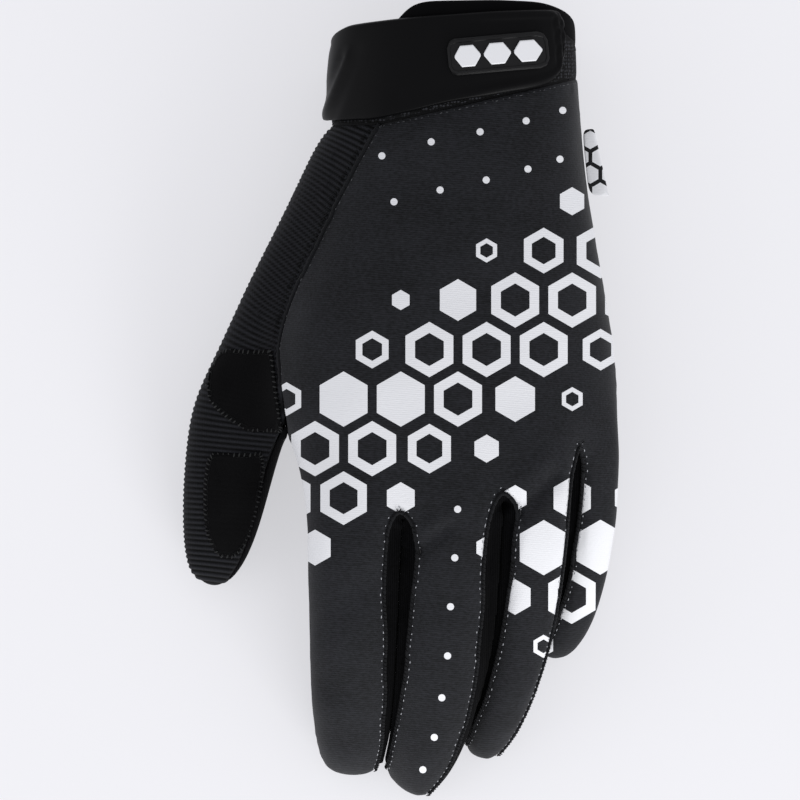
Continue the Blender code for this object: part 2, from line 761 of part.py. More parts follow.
def build_strap(collection):
    """The strap: one band with softened edges, from its free end over the back to the palm."""
    step = 360 / CUFF_STEPS
    turns = [row.turn for row in STRAP_ROWS[:STRAP_END_ROWS]]
    steps = [step * number for number in range(CUFF_STEPS)]
    turns += [turn for turn in steps if turns[-1] < turn < STRAP_ROWS[-1].turn]
    soft = 0.3 * STRAP_WALL
    rows = []
    for turn in turns:
        low, high = (share * CUFF_LENGTH for share in blended(STRAP_ROWS, turn))
        section = (
            (low, STRAP_FIT + soft),
            (low + soft, STRAP_FIT),
            (high - soft, STRAP_FIT),
            (high, STRAP_FIT + soft),
            (high - soft, STRAP_FIT + STRAP_WALL),
            (low + soft, STRAP_FIT + STRAP_WALL),
        )
        rows.append([cuff_point(turn, reach, lift) for reach, lift in section])
    banded("wrist_strap", collection, rows)


def on_strap(along, across, lift):
    """A point over the strap, from the badge's middle along and across it, lifted off its face."""
    middle, height, half, rise = wrist_oval()
    tilt = math.radians(BADGE_TILT)
    x = BADGE_X + along * math.cos(tilt) - across * math.sin(tilt)
    reach = BADGE_Y + along * math.sin(tilt) + across * math.cos(tilt)
    size, shift = cuff_size(reach)
    turn = oval_turn(x - middle - shift, half * size)
    return cuff_point(turn, reach, STRAP_FIT + STRAP_WALL + lift)


def pad(name, collection, rows, place, fit, thickness):
    """A thin raised plate from rows of (along, low, high), laid on a face by its placing function."""
    soft = 0.35 * thickness
    places = []
    for along, low, high in rows:
        section = (
            (low, fit),
            (high, fit),
            (high, fit + thickness - soft),
            (high - soft, fit + thickness),
            (low + soft, fit + thickness),
            (low, fit + thickness - soft),
        )
        places.append([place(along, across, lift) for across, lift in section])
    banded(name, collection, places)


def build_badge(collection):
    """The badge's plate with its rounded corners, and a row of raised six-sided marks on it."""
    half, tall = BADGE_WIDTH / 2, BADGE_HEIGHT / 2
    corner = ((0.0, 1.0), (0.3, 0.3), (1.0, 0.0))
    ends = [(half - BADGE_CORNER * in_share, tall - BADGE_CORNER * down) for in_share, down in corner]
    flat = half - BADGE_CORNER
    middle = [(-flat + 2 * flat * step / BADGE_STEPS, tall) for step in range(1, BADGE_STEPS)]
    outline = [(-along, high) for along, high in ends] + middle + ends[::-1]
    rows = [(along, -high, high) for along, high in outline]
    pad("badge", collection, rows, on_strap, STRAP_FIT, BADGE_THICKNESS)
    top = STRAP_FIT + BADGE_THICKNESS + STRAP_FIT
    for number in range(MARK_COUNT):
        middle = (number - (MARK_COUNT - 1) / 2) * MARK_PITCH
        side = MARK_HALF / math.cos(math.radians(30))
        shape = ((-side, 0.12), (-side / 2, 1.0), (side / 2, 1.0), (side, 0.12))
        rows = [(middle + along, -MARK_HALF * share, MARK_HALF * share) for along, share in shape]
        name = f"badge_mark_{number + 1}"
        pad(name, collection, rows, on_strap, top, MARK_THICKNESS)


def skin_tree(skin):
    """The skin as a tree that rays can be cast at."""
    mesh = skin.data
    return BVHTree.FromPolygons([v.co for v in mesh.vertices], [p.vertices for p in mesh.polygons])


def build_patches(skin, collection):
    """The two suede patches, laid on the thumb's skin."""
    tree = skin_tree(skin)

    def on_skin(x, y, lift):
        """A point over the skin, seen from above."""
        place, normal, face, distance = tree.ray_cast(Vector((x, y, 1.0)), Vector((0, 0, -1)))
        return place + normal * lift

    for name, table in (("thumb_web_patch", WEB_PATCH), ("thumb_tip_patch", TIP_PATCH)):
        first, last = table[0].along, table[-1].along
        steps = round((last - first) * PALM_LENGTH / PATCH_STEP)
        alongs = {row.along for row in table[:2] + table[-2:]}
        alongs |= {first + (last - first) * step / steps for step in range(2, steps - 1)}
        rows = []
        for along in sorted(alongs):
            left, right = (share * HAND_BREADTH for share in blended(table, along))
            turns = [math.pi * step / PATCH_COLUMNS for step in range(PATCH_COLUMNS + 1)]
            across = [left + (right - left) * (1 - math.cos(turn)) / 2 for turn in turns]
            y = -along * PALM_LENGTH
            below = [on_skin(x, y, PATCH_FIT) for x in across]
            above = [on_skin(x, y, PATCH_FIT + PATCH_WALL) for x in reversed(across)]
            rows.append(below + above)
        banded(name, collection, rows)


def build_tab(skin, collection):
    """The folded tab that stands out of the outer side seam."""
    tree = skin_tree(skin)
    height = TAB_HEIGHT * HAND_HEIGHT
    half = TAB_THICKNESS / 2
    rows = []
    for step in range(TAB_STEPS + 1):
        share = step / TAB_STEPS
        y = -TAB_PLACE * PALM_LENGTH + TAB_LENGTH * (0.5 - share)
        place, normal, face, distance = tree.ray_cast(Vector((1.0, y, height)), Vector((-1, 0, 0)))
        inner = place.x + SEAM_GAP
        outer = inner + TAB_REACH * (TAB_NARROW + (1 - TAB_NARROW) * share)
        section = (
            (inner, -half),
            (outer - half, -half),
            (outer, -half * 0.4),
            (outer, half * 0.4),
            (outer - half, half),
            (inner, half),
        )
        rows.append([Vector((x, y, height + up)) for x, up in section])
    banded("side_tab", collection, rows)


def rest_on_floor(collection):
    """Moves every piece so that the origin is the middle of the glove's box, on the floor."""
    corners = [vertex.co for thing in collection.objects for vertex in thing.data.vertices]
    low = Vector(min(corner[axis] for corner in corners) for axis in range(3))
    high = Vector(max(corner[axis] for corner in corners) for axis in range(3))
    shift = Vector((-(low.x + high.x) / 2, -(low.y + high.y) / 2, -low.z))
    for thing in collection.objects:
        for vertex in thing.data.vertices:
            vertex.co += shift


def main():
    """Builds the glove."""
    clear_scene()
    glove = new_collection("riding_glove")
    helpers = new_collection("helpers")
    colours = {
        "back_panel": ((0.020, 0.021, 0.023), 0.80),
        "palm_panel": ((0.012, 0.012, 0.012), 0.85),
        "thumb_back": ((0.014, 0.015, 0.016), 0.75),
        "thumb_front": ((0.010, 0.010, 0.010), 0.85),
        "fourchette_index": ((0.009, 0.009, 0.009), 0.85),
        "fourchette_middle": ((0.009, 0.009, 0.009), 0.85),
        "fourchette_ring": ((0.009, 0.009, 0.009), 0.85),
        "cuff": ((0.010, 0.010, 0.011), 0.85),
        "collar": ((0.012, 0.012, 0.013), 0.60),
        "wrist_strap": ((0.013, 0.014, 0.015), 0.50),
        "badge": ((0.015, 0.015, 0.016), 0.45),
        "thumb_web_patch": ((0.006, 0.006, 0.006), 0.95),
        "thumb_tip_patch": ((0.006, 0.006, 0.006), 0.95),
        "side_tab": ((0.020, 0.020, 0.020), 0.80),
    }
    colours |= {f"badge_mark_{number + 1}": ((0.80, 0.80, 0.80), 0.50) for number in range(MARK_COUNT)}
    for name, (colour, roughness) in colours.items():
        new_material(name, colour, roughness)
    skin = smoothed_skin(helpers)
    inward = fitted_walls(skin)
    for panel in range(len(PANELS)):
        cut_panel(skin, panel, inward, glove)
    build_cuff(glove)
    build_strap(glove)
    build_badge(glove)
    build_patches(skin, glove)
    build_tab(skin, glove)
    rest_on_floor(glove)


main()
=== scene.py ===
"""Dresses the riding glove: its sewn cloth, stitching, strap, badge and prints, on a pale studio floor.

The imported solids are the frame. Each sewn panel is grown out of a copy of its own solid: the facets are
joined into quads, the cut edges are rounded, and it is subdivided before folds, ribs and stitches go on.
Millimetres on the plan are seen from above: x to the little finger's side, y from fingertips to cuff.
"""

from __future__ import annotations

import json
import logging
import math
from dataclasses import dataclass
from dataclasses import field
from enum import Enum

import bmesh
import bpy
from mathutils import Matrix
from mathutils import Vector
from mathutils import noise
from mathutils.bvhtree import BVHTree
from mathutils.kdtree import KDTree

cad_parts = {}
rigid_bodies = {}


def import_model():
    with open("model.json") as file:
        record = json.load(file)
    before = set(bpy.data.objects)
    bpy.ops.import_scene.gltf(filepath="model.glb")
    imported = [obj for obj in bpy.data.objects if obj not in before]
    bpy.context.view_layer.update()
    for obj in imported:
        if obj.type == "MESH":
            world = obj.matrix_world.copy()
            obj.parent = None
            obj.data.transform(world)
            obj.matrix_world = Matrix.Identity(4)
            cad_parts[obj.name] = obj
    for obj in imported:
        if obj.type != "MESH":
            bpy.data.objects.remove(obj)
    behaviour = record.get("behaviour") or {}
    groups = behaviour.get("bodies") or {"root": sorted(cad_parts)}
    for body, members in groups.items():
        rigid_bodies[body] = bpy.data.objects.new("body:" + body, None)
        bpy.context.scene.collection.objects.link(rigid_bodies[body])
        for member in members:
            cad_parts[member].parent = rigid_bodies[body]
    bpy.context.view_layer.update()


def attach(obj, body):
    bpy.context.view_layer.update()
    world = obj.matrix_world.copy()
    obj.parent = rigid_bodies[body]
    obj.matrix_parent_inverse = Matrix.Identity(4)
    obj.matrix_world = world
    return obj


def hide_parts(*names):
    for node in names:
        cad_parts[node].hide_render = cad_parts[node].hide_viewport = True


Material = bpy.types.Material
Socket = bpy.types.NodeSocket
Shape = bmesh.types.BMesh

LOG = logging.getLogger("glove")
MM = 0.001
BODY = "root"

# The camera: the photograph's width in the plane of the hand's back, and a long lens straight above.
VIEW_WIDTH = 224 * MM
VIEW_CENTRE = (-0.22 * MM, -0.26 * MM)
VIEW_PLANE = 42 * MM
LENS = 1200.0
SENSOR = 36.0

# Fixed, so that the stitches' unevenness is the same each run.
STITCH_SEED = 7


class Side(Enum):
    """Which part of a sewn panel's wall a face belongs to."""

    OUTER = 0
    INNER = 1
    RIM = 2


class Weave(Enum):
    """How a cloth is made, which sets the pattern that its finish draws."""

    JERSEY = "fine jersey"
    WALES = "fine knit in wales"
    SUEDE = "napped microfibre"
    SPACER = "open looped spacer mesh"
    TAPE = "woven tape"


def linear(hex_colour: str) -> tuple[float, float, float, float]:
    """Turns an sRGB hex colour into linear light.

    Args:
        hex_colour: Six hex digits after a hash sign.

    Returns:
        Red, green, blue and an alpha of one.
    """
    channels = (int(hex_colour[start : start + 2], 16) / 255 for start in (1, 3, 5))
    lit = (c / 12.92 if c <= 0.04045 else ((c + 0.055) / 1.055) ** 2.4 for c in channels)
    return (*lit, 1.0)


def add_node(
    material: Material,
    kind: str,
    settings: dict[str, object] | None = None,
    links: dict[str | int, Socket] | None = None,
) -> bpy.types.Node:
    """Adds a node to a material.

    Args:
        material: The material that gets the node.
        kind: The node's type, such as ShaderNodeMath.
        settings: Properties of the node, or values of its inputs by name or number.
        links: The sockets that feed its inputs, by name or number.

    Returns:
        The new node.
    """
    node = material.node_tree.nodes.new(kind)
    plain = {k: v for k, v in (settings or {}).items() if isinstance(k, str) and hasattr(node, k)}
    for name, value in plain.items():
        setattr(node, name, value)
    for name, value in (settings or {}).items():
        if name not in plain:
            node.inputs[name].default_value = value
    for name, source in (links or {}).items():
        material.node_tree.links.new(source, node.inputs[name])
    return node


def new_material(name: str) -> tuple[Material, bpy.types.Node]:
    """Makes a material with a Principled shader.

    Args:
        name: What the real material is.

    Returns:
        The material and its shader node.
    """
    material = bpy.data.materials.new(name)
    material.use_nodes = True
    return material, material.node_tree.nodes["Principled BSDF"]


def wave_scale(pitch: float) -> float:
    """The Wave Texture's scale that makes its bands lie a pitch apart, in metres."""
    return 2 * math.pi / (20 * pitch)


def split(inputs: dict[int, object]) -> tuple[dict[int, object], dict[int, Socket]]:
    """Parts a node's inputs into fixed values and sockets."""
    fixed = {number: source for number, source in inputs.items() if isinstance(source, (float, tuple))}
    return fixed, {number: source for number, source in inputs.items() if number not in fixed}


def work_out(
    material: Material, kind: str, operation: str, *inputs: object, out: int | str = 0, clamp: bool = False
) -> Socket:
    """Works out a number or a vector.

    Args:
        material: The material that gets the node.
        kind: Math or VectorMath.
        operation: What the node does.
        inputs: Numbers, fixed vectors or sockets, in the node's order.
        out: The output that is wanted.
        clamp: Whether a number is kept from 0 to 1.

    Returns:
        The node's output.
    """
    fixed, sockets = split(dict(enumerate(inputs)))
    settings = {"operation": operation, **({"use_clamp": True} if clamp else {}), **fixed}
    return add_node(material, f"ShaderNode{kind}", settings, sockets).outputs[out]


def ranged(
    material: Material,
    source: Socket,
    before: tuple[float, float] = (0.0, 1.0),
    after: tuple[float, float] = (0.0, 1.0),
    curve: str = "LINEAR",
) -> Socket:
    """Takes a number from one range to another.

    Args:
        material: The material that gets the node.
        source: The number.
        before: The range that it is read from.
        after: The range that it is taken to.
        curve: How it goes between the ends.

    Returns:
        The new number.
    """
    ends = {"From Min": before[0], "From Max": before[1], "To Min": after[0], "To Max": after[1]}
    settings = {"interpolation_type": curve, **ends}
    return add_node(material, "ShaderNodeMapRange", settings, {"Value": source}).outputs["Result"]


def clouds(
    material: Material, place: Socket, size: float, detail: float = 2.0, roughness: float = 0.5
) -> Socket:
    """Draws soft random patches of a size in metres, from 0 to 1."""
    settings = {"Scale": 1 / size, "Detail": detail, "Roughness": roughness}
    return add_node(material, "ShaderNodeTexNoise", settings, {"Vector": place}).outputs["Fac"]


def mixed(material: Material, share: object, first: object, second: object, blend: str = "MIX") -> Socket:
    """Mixes two colours, each a socket or fixed, by a share that is a socket or a number."""
    fixed, sockets = split({0: share, 6: first, 7: second})
    settings = {"data_type": "RGBA", "blend_type": blend, **fixed}
    return add_node(material, "ShaderNodeMix", settings, sockets).outputs[2]


def place_of(material: Material) -> Socket:
    """The place on the piece, in metres."""
    return add_node(material, "ShaderNodeTexCoord").outputs["Object"]


def finish_shader(
    material: Material,
    shader: bpy.types.Node,
    colour: Socket,
    height: Socket,
    strength: float,
    relief_mm: float,
) -> None:
    """Gives a shader its colour and its relief.

    Args:
        material: The material.
        shader: Its shader node.
        colour: The colour.
        height: The relief's height, from 0 to 1.
        strength: How strong the relief is.
        relief_mm: How high a height of 1 is.
    """
    settings = {"Strength": strength, "Distance": relief_mm * MM}
    bump = add_node(material, "ShaderNodeBump", settings, {"Height": height})
    material.node_tree.links.new(colour, shader.inputs["Base Color"])
    material.node_tree.links.new(bump.outputs["Normal"], shader.inputs["Normal"])


@dataclass(frozen=True)
class Cloth:
    """A cloth's finish: two shades of its yarn, how rough it is, and the size of its pattern."""

    name: str
    dark: str
    light: str
    weave: Weave
    pitch_mm: float
    roughness: float = 0.9
    specular: float = 0.25
    sheen: float = 0.1
    relief_mm: float = 0.06
    slant: float = 0.0
    regular: float = 0.4

    def yarns(self, material: Material) -> Socket:
        """Draws the yarns.

        Args:
            material: The material that gets the pattern.

        Returns:
            A value from 0 between the yarns to 1 on their crowns.
        """
        pitch = self.pitch_mm * MM
        rotation = {"Rotation": (0.0, 0.0, math.radians(self.slant))}
        here = {"Vector": place_of(material)}
        turned = add_node(material, "ShaderNodeMapping", rotation, here).outputs["Vector"]
        if self.weave is Weave.SUEDE:
            return clouds(material, turned, pitch, detail=3.0, roughness=0.7)
        if self.weave is Weave.SPACER:
            # Painted highlight on the mesh's loops and painted shade in the holes between them.
            settings = {"Scale": 1 / pitch, "feature": "F1", "Randomness": 0.35}
            loops = add_node(material, "ShaderNodeTexVoronoi", settings, {"Vector": turned})
            return ranged(material, loops.outputs["Distance"], (0.18, 0.55), curve="SMOOTHSTEP")
        across = self.weave in (Weave.JERSEY, Weave.TAPE)
        direction = {"bands_direction": "Y" if across else "X", "Scale": wave_scale(pitch)}
        uneven = {"Distortion": 2.5, "Detail": 1.0, "Detail Scale": 0.4}
        bands = add_node(material, "ShaderNodeTexWave", direction | uneven, {"Vector": turned})
        stretch = {"Scale": (0.45, 1.0, 1.0) if across else (1.0, 0.45, 1.0)}
        along = add_node(material, "ShaderNodeMapping", stretch, {"Vector": turned}).outputs["Vector"]
        breaks = ranged(material, clouds(material, along, pitch, roughness=0.6), (0.3, 0.7))
        settings = {"data_type": "FLOAT", 0: self.regular}
        return add_node(material, "ShaderNodeMix", settings, {2: breaks, 3: bands.outputs["Fac"]}).outputs[0]

    def shade(self, material: Material, yarns: Socket) -> Socket:
        """Colours the yarns, with slow patches of lighter and darker cloth.

        Args:
            material: The material that gets the colour.
            yarns: The yarns' value.

        Returns:
            The cloth's colour.
        """
        slow = clouds(material, place_of(material), 14 * MM)
        patchy = ranged(material, slow, (0.3, 0.7), (-0.12, 0.12))
        amount = work_out(material, "Math", "ADD", yarns, patchy, clamp=True)
        return mixed(material, amount, linear(self.dark), linear(self.light))

    def build(self) -> Material:
        """Makes the cloth's material."""
        material, shader = new_material(self.name)
        yarns = self.yarns(material)
        colour = self.print_over(material, self.shade(material, yarns))
        shader.inputs["Roughness"].default_value = self.roughness
        shader.inputs["Specular IOR Level"].default_value = self.specular
        shader.inputs["Sheen Weight"].default_value = self.sheen
        shader.inputs["Sheen Roughness"].default_value = 0.5
        finish_shader(material, shader, colour, yarns, 0.8, self.relief_mm)
        return material

    def print_over(self, _: Material, colour: Socket) -> Socket:
        """Leaves the cloth as it is dyed: a plain cloth has no print."""
        return colour


@dataclass(frozen=True)
class PrintedCloth(Cloth):
    """Cloth with a white print: a field of six-sided cells that shrink to its edges, and rows of dots."""

    ink: str = "#E8E9EB"
    fading: float = 0.93
    cell_mm: float = 16.0
    largest_mm: float = 13.4
    smallest_mm: float = 4.5
    band_start: tuple[float, float] = (-26.0, -20.0)
    band_end: tuple[float, float] = (56.0, 34.0)
    band_half_mm: float = 25.0
    finger_middle: tuple[float, float] = (50.0, -45.0)
    finger_half_mm: float = 27.0
    outline_share: float = 0.4
    outline_inner: float = 0.6
    dot_mm: float = 2.0
    dots: tuple[tuple[float, float], ...] = ()

    def cells(self, material: Material, plan: Socket) -> Socket:
        """Draws the six-sided cells.

        Args:
            material: The material that gets the print.
            plan: The place on the plan.

        Returns:
            One inside a cell, and zero elsewhere.
        """
        pitch = self.cell_mm * MM
        half = (pitch / 2, pitch * math.sqrt(3) / 2, 1.0)
        negative = tuple(-size for size in half)

        def value(operation: str, first: object, second: object) -> Socket:
            """A number worked out from two numbers or sockets."""
            return work_out(material, "Math", operation, first, second)

        def vector(operation: str, *inputs: object, out: str = "Vector") -> Socket:
            """A vector, or its value, worked out from sockets or fixed vectors."""
            return work_out(material, "VectorMath", operation, *inputs, out=out)

        # The cells stand in two sets of rows, each repeated in boxes: the nearer cell is the one used.
        even = vector("WRAP", plan, half, negative)
        odd = vector("WRAP", vector("SUBTRACT", plan, (half[0], half[1], 0.0)), half, negative)
        nearer = value("LESS_THAN", *(vector("LENGTH", row, out="Value") for row in (even, odd)))
        rows = {0: nearer, 4: odd, 5: even}
        local = add_node(material, "ShaderNodeMix", {"data_type": "VECTOR"}, rows).outputs[1]
        centre = vector("SUBTRACT", plan, local)
        folded = vector("ABSOLUTE", local)
        slope = (math.cos(math.radians(60)), math.sin(math.radians(60)), 0.0)
        ways = (slope, (1.0, 0.0, 0.0))
        reach = value("MAXIMUM", *(vector("DOT_PRODUCT", folded, way, out="Value") for way in ways))

        # How far the cell's middle lies from the two fields, as a share of their half widths.
        start, end = (Vector((*place, 0.0)) * MM for place in (self.band_start, self.band_end))
        normal = (end - start).normalized().cross(Vector((0.0, 0.0, 1.0)))
        off_band = vector("DOT_PRODUCT", centre, tuple(normal), out="Value")
        off_band = value("ABSOLUTE", value("SUBTRACT", off_band, float(start.dot(normal))), 0.0)
        band = value("DIVIDE", off_band, self.band_half_mm * MM)
        finger_middle = (self.finger_middle[0] * MM, self.finger_middle[1] * MM, 0.0)
        from_finger = vector("DISTANCE", centre, finger_middle, out="Value")
        share = value("MINIMUM", band, value("DIVIDE", from_finger, self.finger_half_mm * MM))
        sizes = (self.largest_mm * MM / 2, self.smallest_mm * MM / 2)
        size = ranged(material, share, (0.45, 1.05), sizes)
        inside = value("LESS_THAN", reach, size)
        shown = value("LESS_THAN", share, 1.06)

        # Some cells are outlines: the middle of the cell, snapped to a quarter of the pitch, picks them.
        moved = vector("ADD", centre, (pitch / 8, pitch / 8, 0.5))
        snapped = vector("SNAP", moved, (pitch / 4, pitch / 4, 1.0))
        settings = {"noise_dimensions": "3D"}
        chance = add_node(material, "ShaderNodeTexWhiteNoise", settings, {"Vector": snapped})
        outlined = value("LESS_THAN", chance.outputs["Value"], self.outline_share)
        hollow = value("LESS_THAN", reach, value("MULTIPLY", size, self.outline_inner))
        bare = value("MULTIPLY", hollow, outlined)
        return value("MULTIPLY", value("SUBTRACT", inside, bare), shown)

    def print_over(self, material: Material, colour: Socket) -> Socket:
        """Prints the cells and the dots on the cloth.

        Args:
            material: The material that gets the print.
            colour: The colour of the cloth under it.

        Returns:
            The colour with the print on it.
        """
        plan = work_out(material, "VectorMath", "MULTIPLY", place_of(material), (1.0, 1.0, 0.0))
        printed = self.cells(material, plan)
        for across, along in self.dots:
            middle = (across * MM, along * MM, 0.0)
            off = work_out(material, "VectorMath", "DISTANCE", plan, middle, out="Value")
            dot = work_out(material, "Math", "LESS_THAN", off, self.dot_mm * MM / 2)
            printed = work_out(material, "Math", "MAXIMUM", printed, dot)
        inked = mixed(material, 1.0, colour, linear(self.ink), "ADD")
        faded = mixed(material, 1.0, inked, (self.fading, self.fading, self.fading, 1.0), "MULTIPLY")
        return mixed(material, printed, colour, faded)


@dataclass(frozen=True)
class RibCloth(Cloth):
    """Cloth with deep ribs: painted shade in their grooves and a painted highlight on their crowns, from the
    piece's own rib attribute.
    """

    def shade(self, material: Material, yarns: Socket) -> Socket:
        """Paints a highlight on the ribs' crowns and shade in their grooves.

        Args:
            material: The material that gets the colour.
            yarns: The yarns' value.

        Returns:
            The cloth's colour.
        """
        rib = add_node(material, "ShaderNodeAttribute", {"attribute_name": "rib"}).outputs["Fac"]
        crown_highlight = work_out(material, "Math", "POWER", rib, 1.5)
        amount = work_out(material, "Math", "MULTIPLY", crown_highlight, ranged(material, yarns, after=(0.55, 1.0)))
        return mixed(material, amount, linear(self.dark), linear(self.light))


@dataclass(frozen=True)
class Moulded:
    """A moulded or foamed finish: one colour with a fine grain."""

    name: str
    colour: str
    roughness: float
    specular: float = 0.5
    grain_mm: float = 0.25
    relief_mm: float = 0.01
    mottle: float = 0.12
    uneven: float = 0.06

    def build(self) -> Material:
        """Makes the moulded piece's material."""
        material, shader = new_material(self.name)
        here = place_of(material)
        grain = clouds(material, here, self.grain_mm * MM)
        tone = ranged(material, clouds(material, here, 9 * MM), after=(1 - self.mottle, 1 + self.mottle))
        base = {"operation": "SCALE", 0: linear(self.colour)[:3]}
        colour = add_node(material, "ShaderNodeVectorMath", base, {"Scale": tone}).outputs["Vector"]
        rough = ranged(material, grain, after=(self.roughness - self.uneven, self.roughness + self.uneven))
        material.node_tree.links.new(rough, shader.inputs["Roughness"])
        shader.inputs["Specular IOR Level"].default_value = self.specular
        finish_shader(material, shader, colour, grain, 0.6, self.relief_mm)
        return material


# Polyester jersey, dyed charcoal and sublimation printed: matte, with fine courses across the hand.
BACK_CLOTH = PrintedCloth(
    "printed_polyester_jersey",
    dark="#090A0B",
    light="#25262A",
    weave=Weave.JERSEY,
    pitch_mm=0.6,
    roughness=0.8,
    specular=0.14,
    sheen=0.08,
    slant=4.0,
    dots=(
        (-5.3, 68.1), (8.5, 72.0), (22.2, 74.8), (35.1, 77.9), (45.4, 80.9),
        (-1.9, 55.2), (11.0, 58.5), (23.9, 61.3), (35.6, 64.4), (44.6, 67.2),
        (15.9, -30.8), (15.1, -44.4), (13.9, -58.1), (13.1, -71.9),
        (11.5, -83.7), (9.4, -94.9), (6.2, -104.1),
    ),
)
# Ribbed elastane cloth, near black: its ribs are 1.45 mm apart, with a painted highlight on their crowns and
# painted shade in their grooves.
RIB_CLOTH = RibCloth(
    "ribbed_elastane_cloth",
    dark="#010101",
    light="#27282C",
    weave=Weave.WALES,
    pitch_mm=0.5,
    specular=0.12,
    sheen=0.03,
    relief_mm=0.08,
)
# Fine polyester knit between the fingers: wales along the finger, no gloss.
SIDE_KNIT = Cloth(
    "fine_polyester_knit",
    dark="#010101",
    light="#0B0B0D",
    weave=Weave.WALES,
    pitch_mm=0.6,
    specular=0.05,
    sheen=0.01,
    regular=0.6,
)
# The same knit folded into the rolls along the finger seams: its specks are the knit's texture, and its
# lighter shade is a painted highlight on the raised rolls.
HIGHLIT_ROLL_KNIT = Cloth(
    "folded_polyester_knit",
    dark="#020202",
    light="#1E1F22",
    weave=Weave.SUEDE,
    pitch_mm=0.5,
    specular=0.15,
    sheen=0.04,
    relief_mm=0.12,
)
# Brushed microfibre suede: the deepest black of the glove, with a short nap.
PATCH_SUEDE = Cloth(
    "microfibre_suede",
    dark="#030303",
    light="#111112",
    weave=Weave.SUEDE,
    pitch_mm=0.35,
    roughness=0.95,
    specular=0.04,
    sheen=0.03,
)
# Synthetic suede of the palm, a shade lighter than the patches.
PALM_SUEDE = Cloth(
    "synthetic_palm_suede",
    dark="#0C0C0D",
    light="#161617",
    weave=Weave.SUEDE,
    pitch_mm=0.5,
    specular=0.08,
    sheen=0.05,
)
# Knitted spacer mesh: open loops painted grey as a painted highlight, and dark holes between them as painted
# shade.
CUFF_MESH = Cloth(
    "knitted_spacer_mesh",
    # dark holds the loops' grey painted highlight, and light holds the holes' black painted shade.
    dark="#333438",
    light="#020202",
    weave=Weave.SPACER,
    pitch_mm=1.0,
    relief_mm=-0.4,
    specular=0.2,
    sheen=0.0,
)
# Woven polyester tape, black, with small six-sided cells in white yarn.
TAPE = PrintedCloth(
    "woven_polyester_tape",
    dark="#101012",
    light="#1F2022",
    weave=Weave.TAPE,
    pitch_mm=0.45,
    specular=0.2,
    cell_mm=5.6,
    largest_mm=4.5,
    smallest_mm=4.5,
    band_half_mm=500.0,
    outline_share=0.0,
)
# Neoprene with a smooth jersey face.
COLLAR_FOAM = Moulded("jersey_faced_neoprene", "#060607", roughness=0.8, specular=0.06, grain_mm=0.3)
# Thermoplastic rubber, moulded with a satin face.
STRAP_RUBBER = Moulded("moulded_thermoplastic_rubber", "#040405", roughness=0.45, specular=0.09)
# The badge's rubber is a shade darker and smoother.
BADGE_RUBBER = Moulded("moulded_badge_rubber", "#080809", roughness=0.4, specular=0.25)
# White silicone marks, matte.
MARK_RUBBER = Moulded("white_silicone", "#E4E5E7", roughness=0.5, specular=0.4, mottle=0.02)
# Spun polyester thread: light grey at the back panel's edges, black elsewhere.
PALE_THREAD = Moulded("light_grey_polyester_thread", "#A2A4A8", roughness=0.6, grain_mm=0.15, relief_mm=0.03)
GREY_THREAD = Moulded("dark_grey_polyester_thread", "#3A3B3E", roughness=0.6, grain_mm=0.15, relief_mm=0.03)
LOOP_THREAD = Moulded("charcoal_cotton_thread", "#0F1011", roughness=0.8, grain_mm=0.15, relief_mm=0.03)
DARK_THREAD = Moulded(
    "black_polyester_thread", "#0B0B0C", roughness=0.7, specular=0.1, grain_mm=0.15, relief_mm=0.03
)


@dataclass(frozen=True)
class LightTable:
    """A translucent acrylic sheet lit from below, which softens the shadows on it."""

    name: str
    colour: str
    face: str
    glow: float

    def build(self) -> Material:
        """Makes the sheet's material."""
        material, shader = new_material(self.name)
        shader.inputs["Base Color"].default_value = linear(self.face)
        shader.inputs["Roughness"].default_value = 0.9
        shader.inputs["Specular IOR Level"].default_value = 0.05
        shader.inputs["Emission Color"].default_value = linear(self.colour)
        shader.inputs["Emission Strength"].default_value = self.glow
        return material


# Opal acrylic on the studio's light table.
OPAL_SHEET = LightTable("opal_acrylic_sheet", colour="#F4F4F8", face="#A0A0A2", glow=0.6)


@dataclass(frozen=True)
class Crease:
    """A soft fold in a cloth, seen from above: a trough, or a ridge where its depth is below zero."""

    start: tuple[float, float]
    end: tuple[float, float]
    width_mm: float
    depth_mm: float

    def lift(self, place: Vector) -> float:
        """How far the cloth is lifted at a place.

        Args:
            place: The place, in metres.

        Returns:
            The lift along the cloth's normal, in metres.
        """
        here = Vector((place.x, place.y)) / MM
        start, end = Vector(self.start), Vector(self.end)
        run = end - start
        share = (here - start).dot(run) / run.length_squared
        off = (here - start - run * share).length / self.width_mm
        past = max(0.0, -share, share - 1.0) * run.length / self.width_mm
        return -self.depth_mm * MM * math.exp(-(off**2) - (past**2)) * math.cos(min(1.2, off * 0.5))


def merged_copy(node: str) -> Shape:
    """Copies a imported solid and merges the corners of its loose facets.

    Args:
        node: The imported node's name.

    Returns:
        The copy, as a bmesh.
    """
    copy = bmesh.new()
    copy.from_mesh(bpy.data.objects[node].data)
    bmesh.ops.remove_doubles(copy, verts=copy.verts, dist=0.001 * MM)
    copy.normal_update()
    return copy


def join_facets(work: Shape) -> None:
    """Joins a shape's triangles into quads, within each material number.

    Args:
        work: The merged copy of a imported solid.
    """
    wide = math.radians(75)
    bmesh.ops.join_triangles(
        work,
        faces=work.faces,
        cmp_materials=True,
        angle_face_threshold=wide,
        angle_shape_threshold=wide,
        topology_influence=1.0,
    )


def to_object(name: str, work: Shape) -> bpy.types.Object:
    """Turns a bmesh into an object at the origin, shaded smooth.

    Args:
        name: The new piece's name.
        work: Its shape, which is freed.

    Returns:
        The object.
    """
    for face in work.faces:
        face.smooth = True
    mesh = bpy.data.meshes.new(name)
    work.to_mesh(mesh)
    work.free()
    thing = bpy.data.objects.new(name, mesh)
    bpy.context.scene.collection.objects.link(thing)
    return thing


